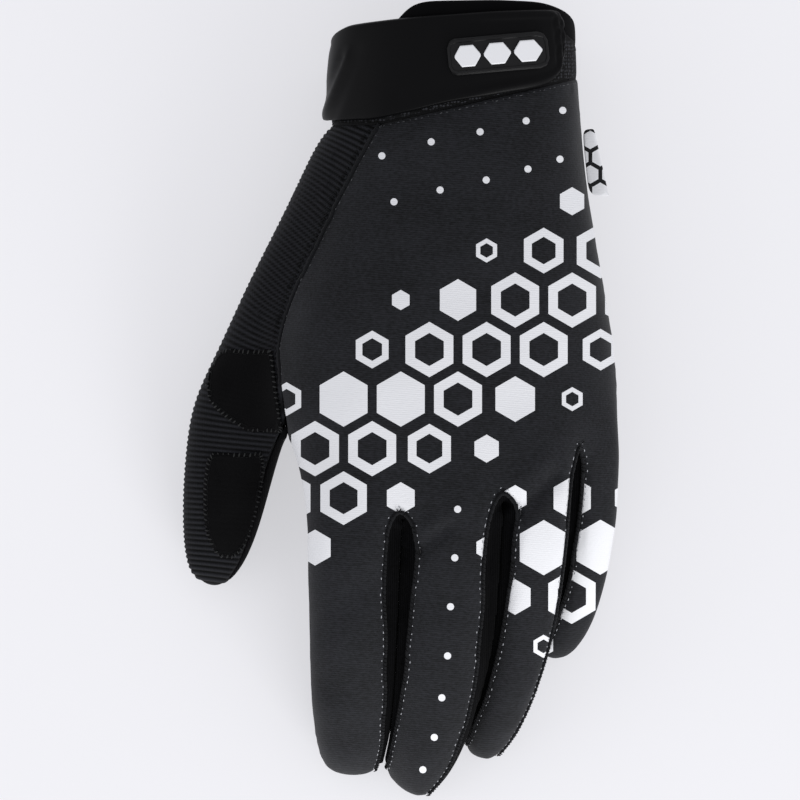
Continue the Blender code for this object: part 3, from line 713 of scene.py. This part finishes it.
def subdivided(work: Shape, levels: int) -> Shape:
    """Smooths a shape with Subdivision Surface.

    Args:
        work: The coarse shape, which is freed.
        levels: How many times it is subdivided.

    Returns:
        The smooth shape, whose faces keep their material numbers.
    """
    rough = to_object("rough", work)
    smooth = rough.modifiers.new("smooth", "SUBSURF")
    smooth.levels = smooth.render_levels = levels
    graph = bpy.context.evaluated_depsgraph_get()
    mesh = bpy.data.meshes.new_from_object(rough.evaluated_get(graph))
    fine = bmesh.new()
    fine.from_mesh(mesh)
    bpy.data.objects.remove(rough, do_unlink=True)
    bpy.data.meshes.remove(mesh)
    return fine


def tree_of(work: Shape, sides: tuple[Side, ...] = ()) -> BVHTree:
    """A tree of a shape's faces, of the named sides only where any are named."""
    numbers = [side.value for side in sides]
    faces = [f for f in work.faces if not numbers or f.material_index in numbers]
    return BVHTree.FromPolygons([v.co for v in work.verts], [[v.index for v in f.verts] for f in faces])


def even_out(work: Shape, vertices: list[bmesh.types.BMVert], turns: int = 1) -> None:
    """Moves vertices towards the middle of their neighbours, a number of times."""
    every_way = {"use_axis_x": True, "use_axis_y": True, "use_axis_z": True}
    for _ in range(turns):
        bmesh.ops.smooth_vert(work, verts=vertices, factor=0.5, **every_way)


def tree_of_points(lines: list[list[Vector]]) -> KDTree:
    """A tree of the points of some lines, for finding how far off the nearest lies."""
    places = [place for line in lines for place in dense(line, closed=True, steps=4)]
    tree = KDTree(len(places))
    for number, place in enumerate(places):
        tree.insert(place, number)
    tree.balance()
    return tree


def finish_piece(
    piece: bpy.types.Object,
    finish: Cloth | Moulded,
    replaces: tuple[str, ...] = (),
) -> bpy.types.Object:
    """Gives a piece its material, its place on the frame and the nodes that it stands for.

    Args:
        piece: The finished mesh.
        finish: What it is made of.
        replaces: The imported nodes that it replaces.

    Returns:
        The piece.
    """
    material = bpy.data.materials.get(finish.name) or finish.build()
    piece.data.materials.clear()
    piece.data.materials.append(material)
    for polygon in piece.data.polygons:
        polygon.material_index = 0
    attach(piece, BODY)
    if replaces:
        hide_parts(*replaces)
    LOG.info("%s: %d faces", piece.name, len(piece.data.polygons))
    return piece


@dataclass
class SewnPanel:
    """A sewn panel of cloth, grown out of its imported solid."""

    node: str
    finish: Cloth
    slot: str
    levels: int = 2
    wall_mm: float = 1.3
    rim_mm: float = 0.35
    sharpest_deg: float = 180.0
    creases: tuple[Crease, ...] = ()
    ripple_mm: float = 0.0
    loops: list[list[Vector]] = field(default_factory=list)
    tree: BVHTree | None = None
    skin: BVHTree | None = None

    def mark_sides(self, work: Shape) -> None:
        """Numbers each face as outer, inner or rim.

        A face of either skin has the other skin behind it, a wall's thickness away and facing the other way.

        Args:
            work: The panel's coarse copy, in triangles.
        """
        tree = tree_of(work)
        for face in work.faces:
            middle = face.calc_center_median()
            hit = tree.ray_cast(middle - face.normal * 0.01 * MM, -face.normal)
            thin = hit[0] is not None and hit[3] < 1.5 * self.wall_mm * MM and hit[1].dot(face.normal) < -0.8
            face.material_index = Side.OUTER.value if thin else Side.RIM.value
        for _ in range(3):
            odd = [face for face in work.faces if self.stands_alone(face)]
            for face in odd:
                face.material_index = Side.RIM.value - face.material_index
        skins = self.regions([f for f in work.faces if f.material_index == Side.OUTER.value])
        skins.sort(key=lambda skin: sum(f.calc_area() for f in skin))
        for face in skins[-2]:
            face.material_index = Side.INNER.value
        for skin in skins[:-2]:
            for face in skin:
                face.material_index = Side.RIM.value

    @staticmethod
    def stands_alone(face: bmesh.types.BMFace) -> bool:
        """Whether a face's neighbours are of the other kind: two for a skin's face, all for a rim's."""
        around = [f.material_index for edge in face.edges for f in edge.link_faces if f is not face]
        others = sum(kind != face.material_index for kind in around)
        return others >= (2 if face.material_index == Side.OUTER.value else 3)

    def regions(self, faces: list[bmesh.types.BMFace]) -> list[list[bmesh.types.BMFace]]:
        """Groups faces that share edges no sharper than the panel's sharpest fold.

        Args:
            faces: The faces to group.

        Returns:
            The groups.
        """
        left = set(faces)
        groups = []
        while left:
            group = [left.pop()]
            for face in group:
                for edge in face.edges:
                    if edge.calc_face_angle(0.0) > math.radians(self.sharpest_deg):
                        continue
                    for other in edge.link_faces:
                        if other in left:
                            left.remove(other)
                            group.append(other)
            groups.append(group)
        return groups

    def find_loops(self, work: Shape) -> None:
        """Keeps the outlines of the panel's outer skin, as rings of points.

        Args:
            work: The panel's coarse copy, with its sides marked.
        """
        nearby: dict[int, list[bmesh.types.BMVert]] = {}
        for edge in work.edges:
            kinds = {face.material_index for face in edge.link_faces}
            if Side.OUTER.value in kinds and len(kinds) == 2:
                for vertex in edge.verts:
                    nearby.setdefault(vertex.index, []).append(edge.other_vert(vertex))
        places = {vertex.index: vertex.co.copy() for vertex in work.verts}
        left = set(nearby)
        self.loops = []
        while left:
            here = left.pop()
            ring = [places[here]]
            following = next((v.index for v in nearby[here] if v.index in left), None)
            while following is not None:
                left.remove(following)
                ring.append(places[following])
                following = next((v.index for v in nearby[following] if v.index in left), None)
            if len(ring) > 5:
                self.loops.append(ring)

    def round_rims(self, work: Shape) -> None:
        """Rounds the panel's cut edges.

        Args:
            work: The panel's coarse copy, with its sides marked.
        """
        rims = [e for e in work.edges if len({f.material_index for f in e.link_faces}) == 2]
        bmesh.ops.bevel(
            work,
            geom=rims,
            offset=self.rim_mm * MM,
            offset_type="OFFSET",
            affect="EDGES",
            segments=1,
            profile=0.5,
            material=-1,
            clamp_overlap=True,
        )

    def detail(self, work: Shape) -> None:
        """Presses the creases into the smooth panel.

        Args:
            work: The smooth panel.
        """
        work.normal_update()
        edge = tree_of_points(self.loops)
        for vertex in work.verts:
            lift = sum(crease.lift(vertex.co) for crease in self.creases)
            if self.ripple_mm:
                lift += self.ripple(vertex.co, edge)
            inner = all(face.material_index == Side.INNER.value for face in vertex.link_faces)
            vertex.co += vertex.normal * (-lift if inner else lift)

    def ripple(self, place: Vector, edge: KDTree) -> float:
        """How far the cloth waves at a place: slowly all over, and in short puckers along its seams.

        Args:
            place: The place, in metres.
            edge: The panel's outline.

        Returns:
            The lift along the cloth's normal, in metres.
        """
        slow = noise.noise(place / (15 * MM)) * self.ripple_mm * MM
        off = edge.find(place)[2] / MM
        short = noise.noise(place / (2.6 * MM)) * self.ripple_mm * 0.5 * MM
        fade = min(1.0, off / 3.0)
        return slow * fade + short * math.exp(-(((off - 2.2) / 1.8) ** 2))

    def build(self) -> bpy.types.Object:
        """Builds the panel and dresses it.

        Returns:
            The finished piece.
        """
        work = merged_copy(self.node)
        self.mark_sides(work)
        join_facets(work)
        work.verts.index_update()
        self.find_loops(work)
        self.round_rims(work)
        smooth = subdivided(work, self.levels)
        self.detail(smooth)
        for vertex in smooth.verts:
            vertex.co.z = max(vertex.co.z, 0.0)
        smooth.verts.index_update()
        self.tree = tree_of(smooth, (Side.OUTER, Side.RIM))
        self.skin = tree_of(smooth, (Side.OUTER,))
        piece = to_object(f"{self.node}_cloth", smooth)
        return finish_piece(piece, self.finish, (self.node,))


@dataclass
class RibbedPanel(SewnPanel):
    """The thumb's back, whose ribs run across it and are modelled."""

    pitch_mm: float = 1.45
    height_mm: float = 0.36
    cuts: int = 3
    # Down the thumb: how far along the plan, where its middle lies across, and the ribs' slope there.
    rows: tuple[tuple[float, float, float], ...] = (
        (80.0, -15.0, 0.30),
        (55.0, -24.0, 0.62),
        (30.0, -36.0, 0.62),
        (12.0, -43.0, 0.30),
        (-10.0, -50.0, 0.10),
        (-35.0, -54.0, 0.05),
        (-55.0, -54.0, 0.15),
    )

    def phase(self, place: Vector) -> float:
        """Which rib a place lies on, as a number whose whole part counts the ribs.

        Args:
            place: The place, in metres.

        Returns:
            The number of ribs from the fingertips' end.
        """
        across, along = place.x / MM, place.y / MM
        before, after = self.rows[0], self.rows[1]
        for row, following in zip(self.rows, self.rows[1:]):
            before, after = row, following
            if along >= following[0]:
                break
        share = min(1.0, max(0.0, (along - before[0]) / (after[0] - before[0])))
        middle = before[1] + (after[1] - before[1]) * share
        slope = before[2] + (after[2] - before[2]) * share
        return (along + slope * (across - middle)) / self.pitch_mm

    def detail(self, work: Shape) -> None:
        """Cuts the outer skin finely and raises its ribs.

        Args:
            work: The smooth panel.
        """
        super().detail(work)
        outer = [f for f in work.faces if f.material_index == Side.OUTER.value]
        edges = list({edge for face in outer for edge in face.edges})
        bmesh.ops.subdivide_edges(work, edges=edges, cuts=self.cuts, use_grid_fill=True)
        skin = {v for f in work.faces if f.material_index != Side.INNER.value for v in f.verts}
        even_out(work, list(skin))
        work.normal_update()
        layer = work.verts.layers.float.new("rib")
        inner = {v for f in work.faces if f.material_index == Side.INNER.value for v in f.verts}
        edge = tree_of_points(self.loops)
        for vertex in work.verts:
            if vertex in inner:
                continue
            wave = 0.5 + 0.5 * math.cos(2 * math.pi * self.phase(vertex.co))
            rib = wave**0.7
            # The rib value also drives the painted highlight on the crowns and the painted shade in the
            # grooves.
            vertex[layer] = rib
            fade = min(1.0, 0.15 + edge.find(vertex.co)[2] / (1.6 * MM))
            vertex.co += vertex.normal * (rib - 0.6) * self.height_mm * fade * MM


@dataclass
class Fourchette(SewnPanel):
    """A knitted side wall between two fingers, whose two halves swell until they nearly meet."""

    slack_mm: float = 0.12

    def detail(self, work: Shape) -> None:
        """Swells the outer skin into the valley between the fingers.

        Args:
            work: The smooth panel.
        """
        super().detail(work)
        tree = tree_of(work)
        edge = tree_of_points(self.loops)
        moves = {}
        for vertex in work.verts:
            if any(face.material_index == Side.INNER.value for face in vertex.link_faces):
                continue
            flat = Vector((vertex.normal.x, vertex.normal.y, 0.0)).normalized()
            hit = tree.ray_cast(vertex.co + flat * 0.05 * MM, flat, 5 * MM)
            if hit[0] is None:
                continue
            depth = edge.find(vertex.co)[2] / MM
            share = min(1.0, max(0.0, (depth - 0.6) / 2.2))
            moves[vertex] = flat * max(0.0, hit[3] / 2 - self.slack_mm * MM) * share * share * (3 - 2 * share)
        for vertex, move in moves.items():
            vertex.co += move


@dataclass
class Patch(SewnPanel):
    """A suede patch, laid close onto the panels under it and pared thin at its edge."""

    bed: tuple[SewnPanel, ...] = ()
    above_mm: float = 0.25
    thick_mm: float = 0.6
    farthest_mm: float = 1.6

    def detail(self, work: Shape) -> None:
        """Presses the patch down onto what it is sewn to.

        Args:
            work: The smooth patch.
        """
        super().detail(work)
        face, lining = tree_of(work, (Side.OUTER,)), tree_of(work, (Side.INNER,))
        edge = tree_of_points(self.loops)
        moves = []
        for vertex in work.verts:
            _, out, _, to_face = face.find_nearest(vertex.co)
            share = lining.find_nearest(vertex.co)[3]
            share /= share + to_face
            pared = min(1.0, 0.4 + edge.find(vertex.co)[2] / (2 * MM))
            height = self.above_mm + self.thick_mm * share * pared + 0.12 * noise.noise(vertex.co / (4 * MM))
            drops = [panel.skin.ray_cast(vertex.co + out * MM, -out, 6 * MM)[3] for panel in self.bed]
            drop = min((d for d in drops if d is not None), default=2 * MM) - MM
            moves.append(out * max(-self.farthest_mm * MM, min(0.3 * MM, height * MM - drop)))
        for vertex, move in zip(work.verts, moves):
            vertex.co += move
        inside = [v for v in work.verts if edge.find(v.co)[2] > 0.8 * MM]
        even_out(work, inside, turns=5)


@dataclass
class RimmedBand(SewnPanel):
    """The strap: a moulded band with a raised rim round its free end and creases where it wraps the wrist."""

    rim_from_mm: float = 14.0
    rim_inset_mm: float = 1.9
    rim_height_mm: float = 0.3

    def detail(self, work: Shape) -> None:
        """Raises the rim and presses the groove inside it.

        Args:
            work: The smooth band.
        """
        super().detail(work)
        edge = tree_of_points(self.loops)
        for vertex in work.verts:
            if vertex.normal.z < 0.1:
                continue
            off = edge.find(vertex.co)[2] / MM
            fade = min(1.0, max(0.0, (vertex.co.x / MM - self.rim_from_mm) / 12))
            rim = math.exp(-(((off - self.rim_inset_mm * 0.55) / 0.6) ** 2))
            groove = math.exp(-(((off - self.rim_inset_mm * 1.35) / 0.5) ** 2))
            vertex.co += vertex.normal * (rim - 0.8 * groove) * self.rim_height_mm * fade * MM


def dense(points: list[Vector], closed: bool = False, steps: int = 8) -> list[Vector]:
    """Draws a smooth line through points.

    Args:
        points: The points in order.
        closed: Whether the line ends where it starts.
        steps: How many pieces each span is cut into.

    Returns:
        The points of the smooth line.
    """
    count = len(points)
    line = []
    for number in range(count if closed else count - 1):
        if closed:
            around = [points[(number + offset) % count] for offset in (-1, 0, 1, 2)]
        else:
            around = [points[min(count - 1, max(0, number + offset))] for offset in (-1, 0, 1, 2)]
        before, here, after, beyond = around
        for step in range(steps):
            t = step / steps
            line.append(
                0.5
                * (
                    2 * here
                    + (after - before) * t
                    + (2 * before - 5 * here + 4 * after - beyond) * t**2
                    + (3 * here - before - 3 * after + beyond) * t**3
                )
            )
    if not closed:
        line.append(points[-1].copy())
    return line


def walked(line: list[Vector], pitch: float) -> list[Vector]:
    """Places points at even distances along a line.

    Args:
        line: The line's points.
        pitch: The distance between the new points, in metres.

    Returns:
        The new points.
    """
    left = 0.0
    found = []
    for here, after in zip(line, line[1:]):
        span = (after - here).length
        while left <= span and span > 0:
            found.append(here.lerp(after, left / span))
            left += pitch
        left -= span
    return found


@dataclass(frozen=True)
class Station:
    """A place on a seam, with the way along it, the way into its panel and the way out of the cloth."""

    place: Vector
    along: Vector
    inward: Vector
    out: Vector


@dataclass
class Seam:
    """The line where one panel meets its neighbours."""

    panel: SewnPanel
    neighbours: tuple[SewnPanel, ...]
    reach_mm: float = 1.3

    def runs(self) -> list[list[Vector]]:
        """The parts of the panel's outline that lie against the neighbours.

        Returns:
            Each part's points in order. A part that goes all round ends at its first point. Where no
            neighbours are named, the whole outline is one part.
        """
        found = []
        for loop in self.panel.loops:
            near = [not self.neighbours or self.is_near(place) for place in loop]
            if all(near):
                found.append([*loop, loop[0]])
                continue
            if not any(near):
                continue
            start = near.index(False)
            run: list[Vector] = []
            for number in range(start, start + len(loop) + 1):
                place = loop[number % len(loop)]
                if near[number % len(loop)]:
                    run.append(place)
                elif run:
                    if len(run) > 2:
                        found.append(run)
                    run = []
        return found

    def is_near(self, place: Vector) -> bool:
        """Whether a neighbour's cloth lies within reach of a place."""
        reach = self.reach_mm * MM
        return any(other.tree.find_nearest(place, reach)[0] is not None for other in self.neighbours)

    def stations(self, pitch_mm: float, inset_mm: float = 0.0) -> list[list[Station]]:
        """Walks along the seam on the panel's smooth cloth.

        Args:
            pitch_mm: The distance between stations.
            inset_mm: How far into the panel they lie. Below zero, they lie outside it.

        Returns:
            The stations of each run.
        """
        rows = []
        for run in self.runs():
            steps = walked(dense(run), pitch_mm * MM)
            row = []
            for number, step in enumerate(steps):
                ahead = steps[min(number + 1, len(steps) - 1)] - steps[max(number - 1, 0)]
                if ahead.length > 1e-6:
                    row.append(self.station(step, ahead.normalized(), inset_mm))
            if len(row) > 1:
                rows.append(row)
        return rows


    def station(self, step: Vector, along: Vector, inset_mm: float) -> Station:
        """Finds the station on the smooth cloth beside a point of the coarse outline.

        Args:
            step: The point on the coarse outline.
            along: The way along the seam there.
            inset_mm: How far into the panel the station lies.

        Returns:
            The station.
        """
        skin = self.panel.skin
        place, out = skin.find_nearest(step)[:2]
        for _ in range(2):
            inward = out.cross(along).normalized()
            ways = [skin.find_nearest(place + inward * side * 1.5 * MM)[3] for side in (1, -1)]
            if ways[0] > ways[1]:
                inward = -inward
            out = skin.find_nearest(place + inward * 1.2 * MM)[1]
        if inset_mm > 0:
            place, out = skin.find_nearest(place + inward * inset_mm * MM)[:2]
        else:
            place = place + inward * inset_mm * MM
        return Station(place, along, inward, out)


@dataclass(frozen=True)
class Stitching:
    """A row of sewn stitches: how far apart, how long, thick and slanted they are."""

    pitch_mm: float
    length_mm: float
    thick_mm: float
    turn: float = 0.0
    raised: float = 0.2
    inset_mm: float = 0.4
    uneven: float = 0.0

    def lay(self, name: str, seams: tuple[Seam, ...], finish: Moulded, slot: str) -> bpy.types.Object:
        """Sews the row along some seams.

        Args:
            name: The row's name.
            seams: The seams that it follows.
            finish: The thread.
            slot: Not used.

        Returns:
            The row, as one piece.
        """
        work = bmesh.new()
        for seam in seams:
            for row in seam.stations(self.pitch_mm, self.inset_mm):
                for station in row:
                    self.add_stitch(work, station)
        return finish_piece(to_object(name, work), finish)

    def add_stitch(self, work: Shape, station: Station) -> None:
        """Adds one stitch to the row's shape."""
        turn = Matrix.Rotation(math.radians(self.turn), 3, station.out)
        along = (turn @ station.along).normalized()
        side = station.out.cross(along).normalized()
        chance = noise.noise_vector(station.place / (0.7 * MM)) * self.uneven
        thick = self.thick_mm * MM / 2
        half = self.length_mm * MM / 2 * (1 + chance.x)
        middle = station.place + station.out * thick * (self.raised + chance.z) + side * thick * chance.y
        middle += station.along * self.pitch_mm * 0.3 * chance.y * MM
        axes = (along * half, side * thick, station.out * thick, middle)
        frame = Matrix.Identity(4)
        for column, axis in enumerate(axes):
            for row in range(3):
                frame[row][column] = axis[row]
        bmesh.ops.create_uvsphere(work, u_segments=6, v_segments=5, radius=1.0, matrix=frame @ LIE_DOWN)


# A sphere's poles lie along its Z: a stitch's ends lie along its X.
LIE_DOWN = Matrix.Rotation(math.radians(90), 4, "Y")


@dataclass(frozen=True)
class Piping:
    """A round cord of folded cloth or tape laid along a seam."""

    radius_mm: float
    inset_mm: float
    raised_mm: float
    wobble_mm: float = 0.0
    evened: int = 2

    def lay(self, name: str, seams: tuple[Seam, ...], finish: Cloth | Moulded, slot: str) -> bpy.types.Object:
        """Lays the cord along some seams.

        Args:
            name: The cord's name.
            seams: The seams that it follows.
            finish: What it is made of.
            slot: Not used.

        Returns:
            The cord, as one piece.
        """
        curve = bpy.data.curves.new(name, "CURVE")
        curve.dimensions = "3D"
        curve.bevel_depth = self.radius_mm * MM
        curve.bevel_resolution = 2
        curve.use_fill_caps = True
        for seam in seams:
            for row in seam.stations(0.8, self.inset_mm):
                places = [s.place + s.out * self.raised_mm * MM for s in row]
                places = smoothed(places, self.evened)
                spline = curve.splines.new("POLY")
                spline.points.add(len(places) - 1)
                for number, place in enumerate(places):
                    swell = 1 + self.wobble_mm * math.sin(number * 2.1) / self.radius_mm
                    spline.points[number].co = (*place, 1.0)
                    spline.points[number].radius = swell
        drawn = bpy.data.objects.new(name, curve)
        bpy.context.scene.collection.objects.link(drawn)
        graph = bpy.context.evaluated_depsgraph_get()
        mesh = bpy.data.meshes.new_from_object(drawn.evaluated_get(graph))
        bpy.data.objects.remove(drawn, do_unlink=True)
        work = bmesh.new()
        work.from_mesh(mesh)
        bpy.data.meshes.remove(mesh)
        return finish_piece(to_object(name, work), finish)


def smoothed(places: list[Vector], turns: int) -> list[Vector]:
    """Evens out a line by moving each point to the middle of its neighbours."""
    for _ in range(turns):
        inner = [(a + 2 * b + c) / 4 for a, b, c in zip(places, places[1:], places[2:])]
        places = [places[0], *inner, places[-1]]
    return places


@dataclass
class HardPiece:
    """A moulded piece with bevelled edges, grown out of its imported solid."""

    node: str
    finish: Moulded
    slot: str
    bevel_mm: float = 0.25
    border_mm: float = 0.0
    border_height_mm: float = 0.3

    def build(self) -> bpy.types.Object:
        """Builds the piece.

        Returns:
            The finished piece.
        """
        work = merged_copy(self.node)
        bmesh.ops.dissolve_limit(work, angle_limit=math.radians(4), verts=work.verts, edges=work.edges)
        if self.border_mm:
            top = [f for f in work.faces if f.normal.z > 0.85]
            ring = bmesh.ops.inset_region(
                work, faces=top, thickness=self.border_mm * MM, use_even_offset=True, use_boundary=True
            )["faces"]
            raised = bmesh.ops.extrude_face_region(work, geom=ring)["geom"]
            bmesh.ops.delete(work, geom=ring, context="FACES")
            for vertex in (part for part in raised if isinstance(part, bmesh.types.BMVert)):
                vertex.co.z += self.border_height_mm * MM
        work.normal_update()
        sharp = [e for e in work.edges if e.is_manifold and e.calc_face_angle(0.0) > math.radians(28)]
        bmesh.ops.bevel(
            work,
            geom=sharp,
            offset=self.bevel_mm * MM,
            offset_type="OFFSET",
            affect="EDGES",
            segments=3,
            profile=0.5,
            material=-1,
            clamp_overlap=True,
        )
        piece = finish_piece(to_object(f"{self.node}_moulded", work), self.finish, (self.node,))
        piece.modifiers.new("flat faces", "WEIGHTED_NORMAL").keep_sharp = True
        return piece


def stage_floor() -> bpy.types.Object:
    """Lays the light table under the glove."""
    work = bmesh.new()
    bmesh.ops.create_grid(work, x_segments=2, y_segments=2, size=3.0)
    floor = to_object("studio_floor", work)
    floor.data.materials.append(OPAL_SHEET.build())
    return floor


def add_light(name: str, place: tuple[float, float, float], size: float, power: float) -> None:
    """Hangs a square softbox that faces the glove.

    Args:
        name: The light's name.
        place: Where it hangs, in metres.
        size: The length of its side, in metres.
        power: Its power, in watts.
    """
    light = bpy.data.lights.new(name, "AREA")
    light.shape = "SQUARE"
    light.size = size
    light.energy = power
    lamp = bpy.data.objects.new(name, light)
    lamp.location = place
    lamp.rotation_euler = Vector(place).to_track_quat("Z", "Y").to_euler()
    bpy.context.scene.collection.objects.link(lamp)


def set_studio() -> None:
    """Sets the pale surroundings, the softboxes and the camera."""
    scene = bpy.context.scene
    scene.view_settings.view_transform = "Standard"
    world = bpy.data.worlds.new("studio")
    world.use_nodes = True
    world.node_tree.nodes["Background"].inputs["Color"].default_value = linear("#F4F4F9")
    world.node_tree.nodes["Background"].inputs["Strength"].default_value = 0.78
    scene.world = world
    add_light("softbox_key", (0.6, -1.3, 0.5), 0.8, 16.0)
    add_light("softbox_left", (-1.3, -0.3, 0.6), 1.0, 3.0)
    camera = bpy.data.cameras.new("camera")
    camera.lens = LENS
    camera.sensor_width = SENSOR
    distance = VIEW_WIDTH * LENS / SENSOR
    camera.clip_end = distance * 2
    eye = bpy.data.objects.new("camera", camera)
    eye.location = (*VIEW_CENTRE, VIEW_PLANE + distance)
    scene.collection.objects.link(eye)
    scene.camera = eye


def clear_scene() -> None:
    """Removes whatever the file opened with."""
    for thing in list(bpy.data.objects):
        bpy.data.objects.remove(thing, do_unlink=True)


@dataclass
class Glove:
    """The whole glove: its panels first, then everything that is sewn to them."""

    panels: dict[str, SewnPanel] = field(default_factory=dict)

    def add(self, *panels: SewnPanel) -> None:
        """Builds panels and keeps them by their nodes' names."""
        for panel in panels:
            panel.build()
            self.panels[panel.node] = panel

    def seam(self, node: str, *others: str, reach_mm: float = 1.3) -> Seam:
        """The seam where a panel meets others, all by their nodes' names."""
        return Seam(self.panels[node], tuple(self.panels[other] for other in others), reach_mm)

    def build_hand(self) -> None:
        """Builds the panels of the hand, the fingers and the thumb."""
        back_folds = (
            Crease((33.4, -31.6), (44.0, -21.5), 2.6, 1.5),
            Crease((31.0, -24.5), (40.0, -17.0), 2.6, -0.5),
            Crease((4.9, -42.8), (13.0, -36.5), 1.9, 1.1),
            Crease((6.0, -36.0), (15.0, -31.5), 1.9, -0.4),
            Crease((-22.0, -62.0), (-8.0, -52.0), 5.0, 0.5),
            Crease((-20.0, -80.0), (-10.0, -88.0), 4.0, 0.4),
        )
        self.add(
            SewnPanel("back_panel", BACK_CLOTH, "back_panel", creases=back_folds, ripple_mm=0.45),
            SewnPanel("palm_panel", PALM_SUEDE, "palm_panel"),
            RibbedPanel("thumb_back", RIB_CLOTH, "thumb_back"),
            SewnPanel("thumb_front", SIDE_KNIT, "thumb_front", sharpest_deg=68.0),
            Fourchette("fourchette_index", SIDE_KNIT, "fourchette"),
            Fourchette("fourchette_middle", SIDE_KNIT, "fourchette"),
            Fourchette("fourchette_ring", SIDE_KNIT, "fourchette"),
        )
        bed = tuple(self.panels[node] for node in ("back_panel", "thumb_back", "thumb_front"))
        for node in ("thumb_web_patch", "thumb_tip_patch"):
            self.add(Patch(node, PATCH_SUEDE, "patches", levels=3, wall_mm=0.9, rim_mm=0.2, bed=bed))

    def build_cuff(self) -> None:
        """Builds the cuff, its collar, the strap with its badge, and the tab."""
        wraps = (
            Crease((-14.8, 95.9), (-22.5, 78.3), 0.9, -0.5),
            Crease((-16.8, 95.5), (-23.6, 80.0), 1.1, 0.4),
            Crease((-12.0, 97.0), (-19.5, 78.5), 1.6, 0.3),
            Crease((-20.6, 99.5), (-22.6, 94.5), 0.9, 0.6),
            Crease((0.0, 84.0), (30.0, 90.5), 3.0, 0.25),
        )
        self.add(
            SewnPanel("cuff", CUFF_MESH, "cuff", wall_mm=1.8),
            SewnPanel("collar", COLLAR_FOAM, "collar", wall_mm=2.4, rim_mm=0.5),
            RimmedBand("wrist_strap", STRAP_RUBBER, "wrist_strap", levels=3, wall_mm=2.2, creases=wraps),
            SewnPanel("side_tab", TAPE, "side_tab", wall_mm=1.2, rim_mm=0.2),
        )
        HardPiece("badge", BADGE_RUBBER, "badge", border_mm=0.8).build()
        for number in range(1, 4):
            HardPiece(f"badge_mark_{number}", MARK_RUBBER, "badge_marks", bevel_mm=0.3).build()

    def sew(self) -> None:
        """Lays the cords and sews the stitches along the seams."""
        fourchettes = ("fourchette_index", "fourchette_middle", "fourchette_ring")
        hand = ("back_panel", "palm_panel", "thumb_back", "thumb_front")
        backing = (
            self.seam("back_panel", *hand[1:], "cuff"),
            self.seam("palm_panel", *fourchettes, *hand[2:], "cuff"),
            self.seam("thumb_back", "thumb_front", "cuff"),
            self.seam("thumb_front", "cuff"),
        )
        wrist = (self.seam("cuff", *hand, reach_mm=2.6),)
        mouth = (self.seam("cuff", "collar", reach_mm=2.6),)
        fingers = (self.seam("back_panel", *fourchettes, reach_mm=2.4),)
        thumb = (self.seam("back_panel", "thumb_back"),)
        ribs = (self.seam("thumb_back", "back_panel"),)
        cuff = (self.seam("back_panel", "cuff"),)
        patches = (self.seam("thumb_web_patch"), self.seam("thumb_tip_patch"))
        seam_tape = Piping(0.5, -0.15, -0.55)
        wrist_tape = Piping(0.85, -0.35, -0.75, evened=4)
        mouth_tape = Piping(1.0, -0.45, -0.85, evened=4)
        finger_roll = Piping(0.55, -0.6, 0.0, wobble_mm=0.08, evened=14)
        thumb_roll = Piping(0.6, -0.7, 0.0, wobble_mm=0.1)
        binding = Stitching(1.2, 1.25, 0.35, turn=70.0, inset_mm=-0.6, raised=2.6, uneven=0.3)
        finger_row = Stitching(2.2, 0.6, 0.32, uneven=1.3)
        thumb_row = Stitching(2.4, 0.6, 0.32, uneven=1.4)
        cuff_row = Stitching(1.8, 0.6, 0.3, inset_mm=0.7, uneven=1.4)
        overlock = Stitching(1.3, 1.5, 0.55, turn=90.0, inset_mm=1.3)
        patch_loops = Stitching(1.5, 1.3, 0.5, turn=75.0, inset_mm=0.3)
        patch_row = Stitching(1.3, 1.2, 0.3, inset_mm=1.0)
        for name, row, seams, thread, slot in (
            ("seam_allowances", seam_tape, backing, DARK_THREAD, "palm_panel"),
            ("wrist_seam_tape", wrist_tape, wrist, DARK_THREAD, "cuff"),
            ("collar_seam_tape", mouth_tape, mouth, DARK_THREAD, "collar"),
            ("finger_seam_rolls", finger_roll, fingers, HIGHLIT_ROLL_KNIT, "fourchette"),
            ("finger_seam_binding", binding, fingers, DARK_THREAD, "fourchette"),
            ("thumb_seam_roll", thumb_roll, thumb, HIGHLIT_ROLL_KNIT, "thumb_back"),
            ("finger_seam_stitches", finger_row, fingers, PALE_THREAD, "back_panel"),
            ("thumb_seam_stitches", thumb_row, thumb, GREY_THREAD, "back_panel"),
            ("wrist_seam_stitches", cuff_row, cuff, GREY_THREAD, "back_panel"),
            ("thumb_overlock", overlock, ribs, DARK_THREAD, "thumb_back"),
            ("patch_stitches", patch_loops, patches, LOOP_THREAD, "patches"),
            ("patch_topstitching", patch_row, patches, DARK_THREAD, "patches"),
        ):
            row.lay(name, seams, thread, slot)


def main() -> None:
    """Builds the glove's pieces, its floor and its studio."""
    logging.basicConfig(level=logging.INFO, format="%(message)s")
    noise.seed_set(STITCH_SEED)
    clear_scene()
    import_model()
    glove = Glove()
    glove.build_hand()
    glove.build_cuff()
    glove.sew()
    stage_floor()
    set_studio()


if __name__ == "__main__":
    main()
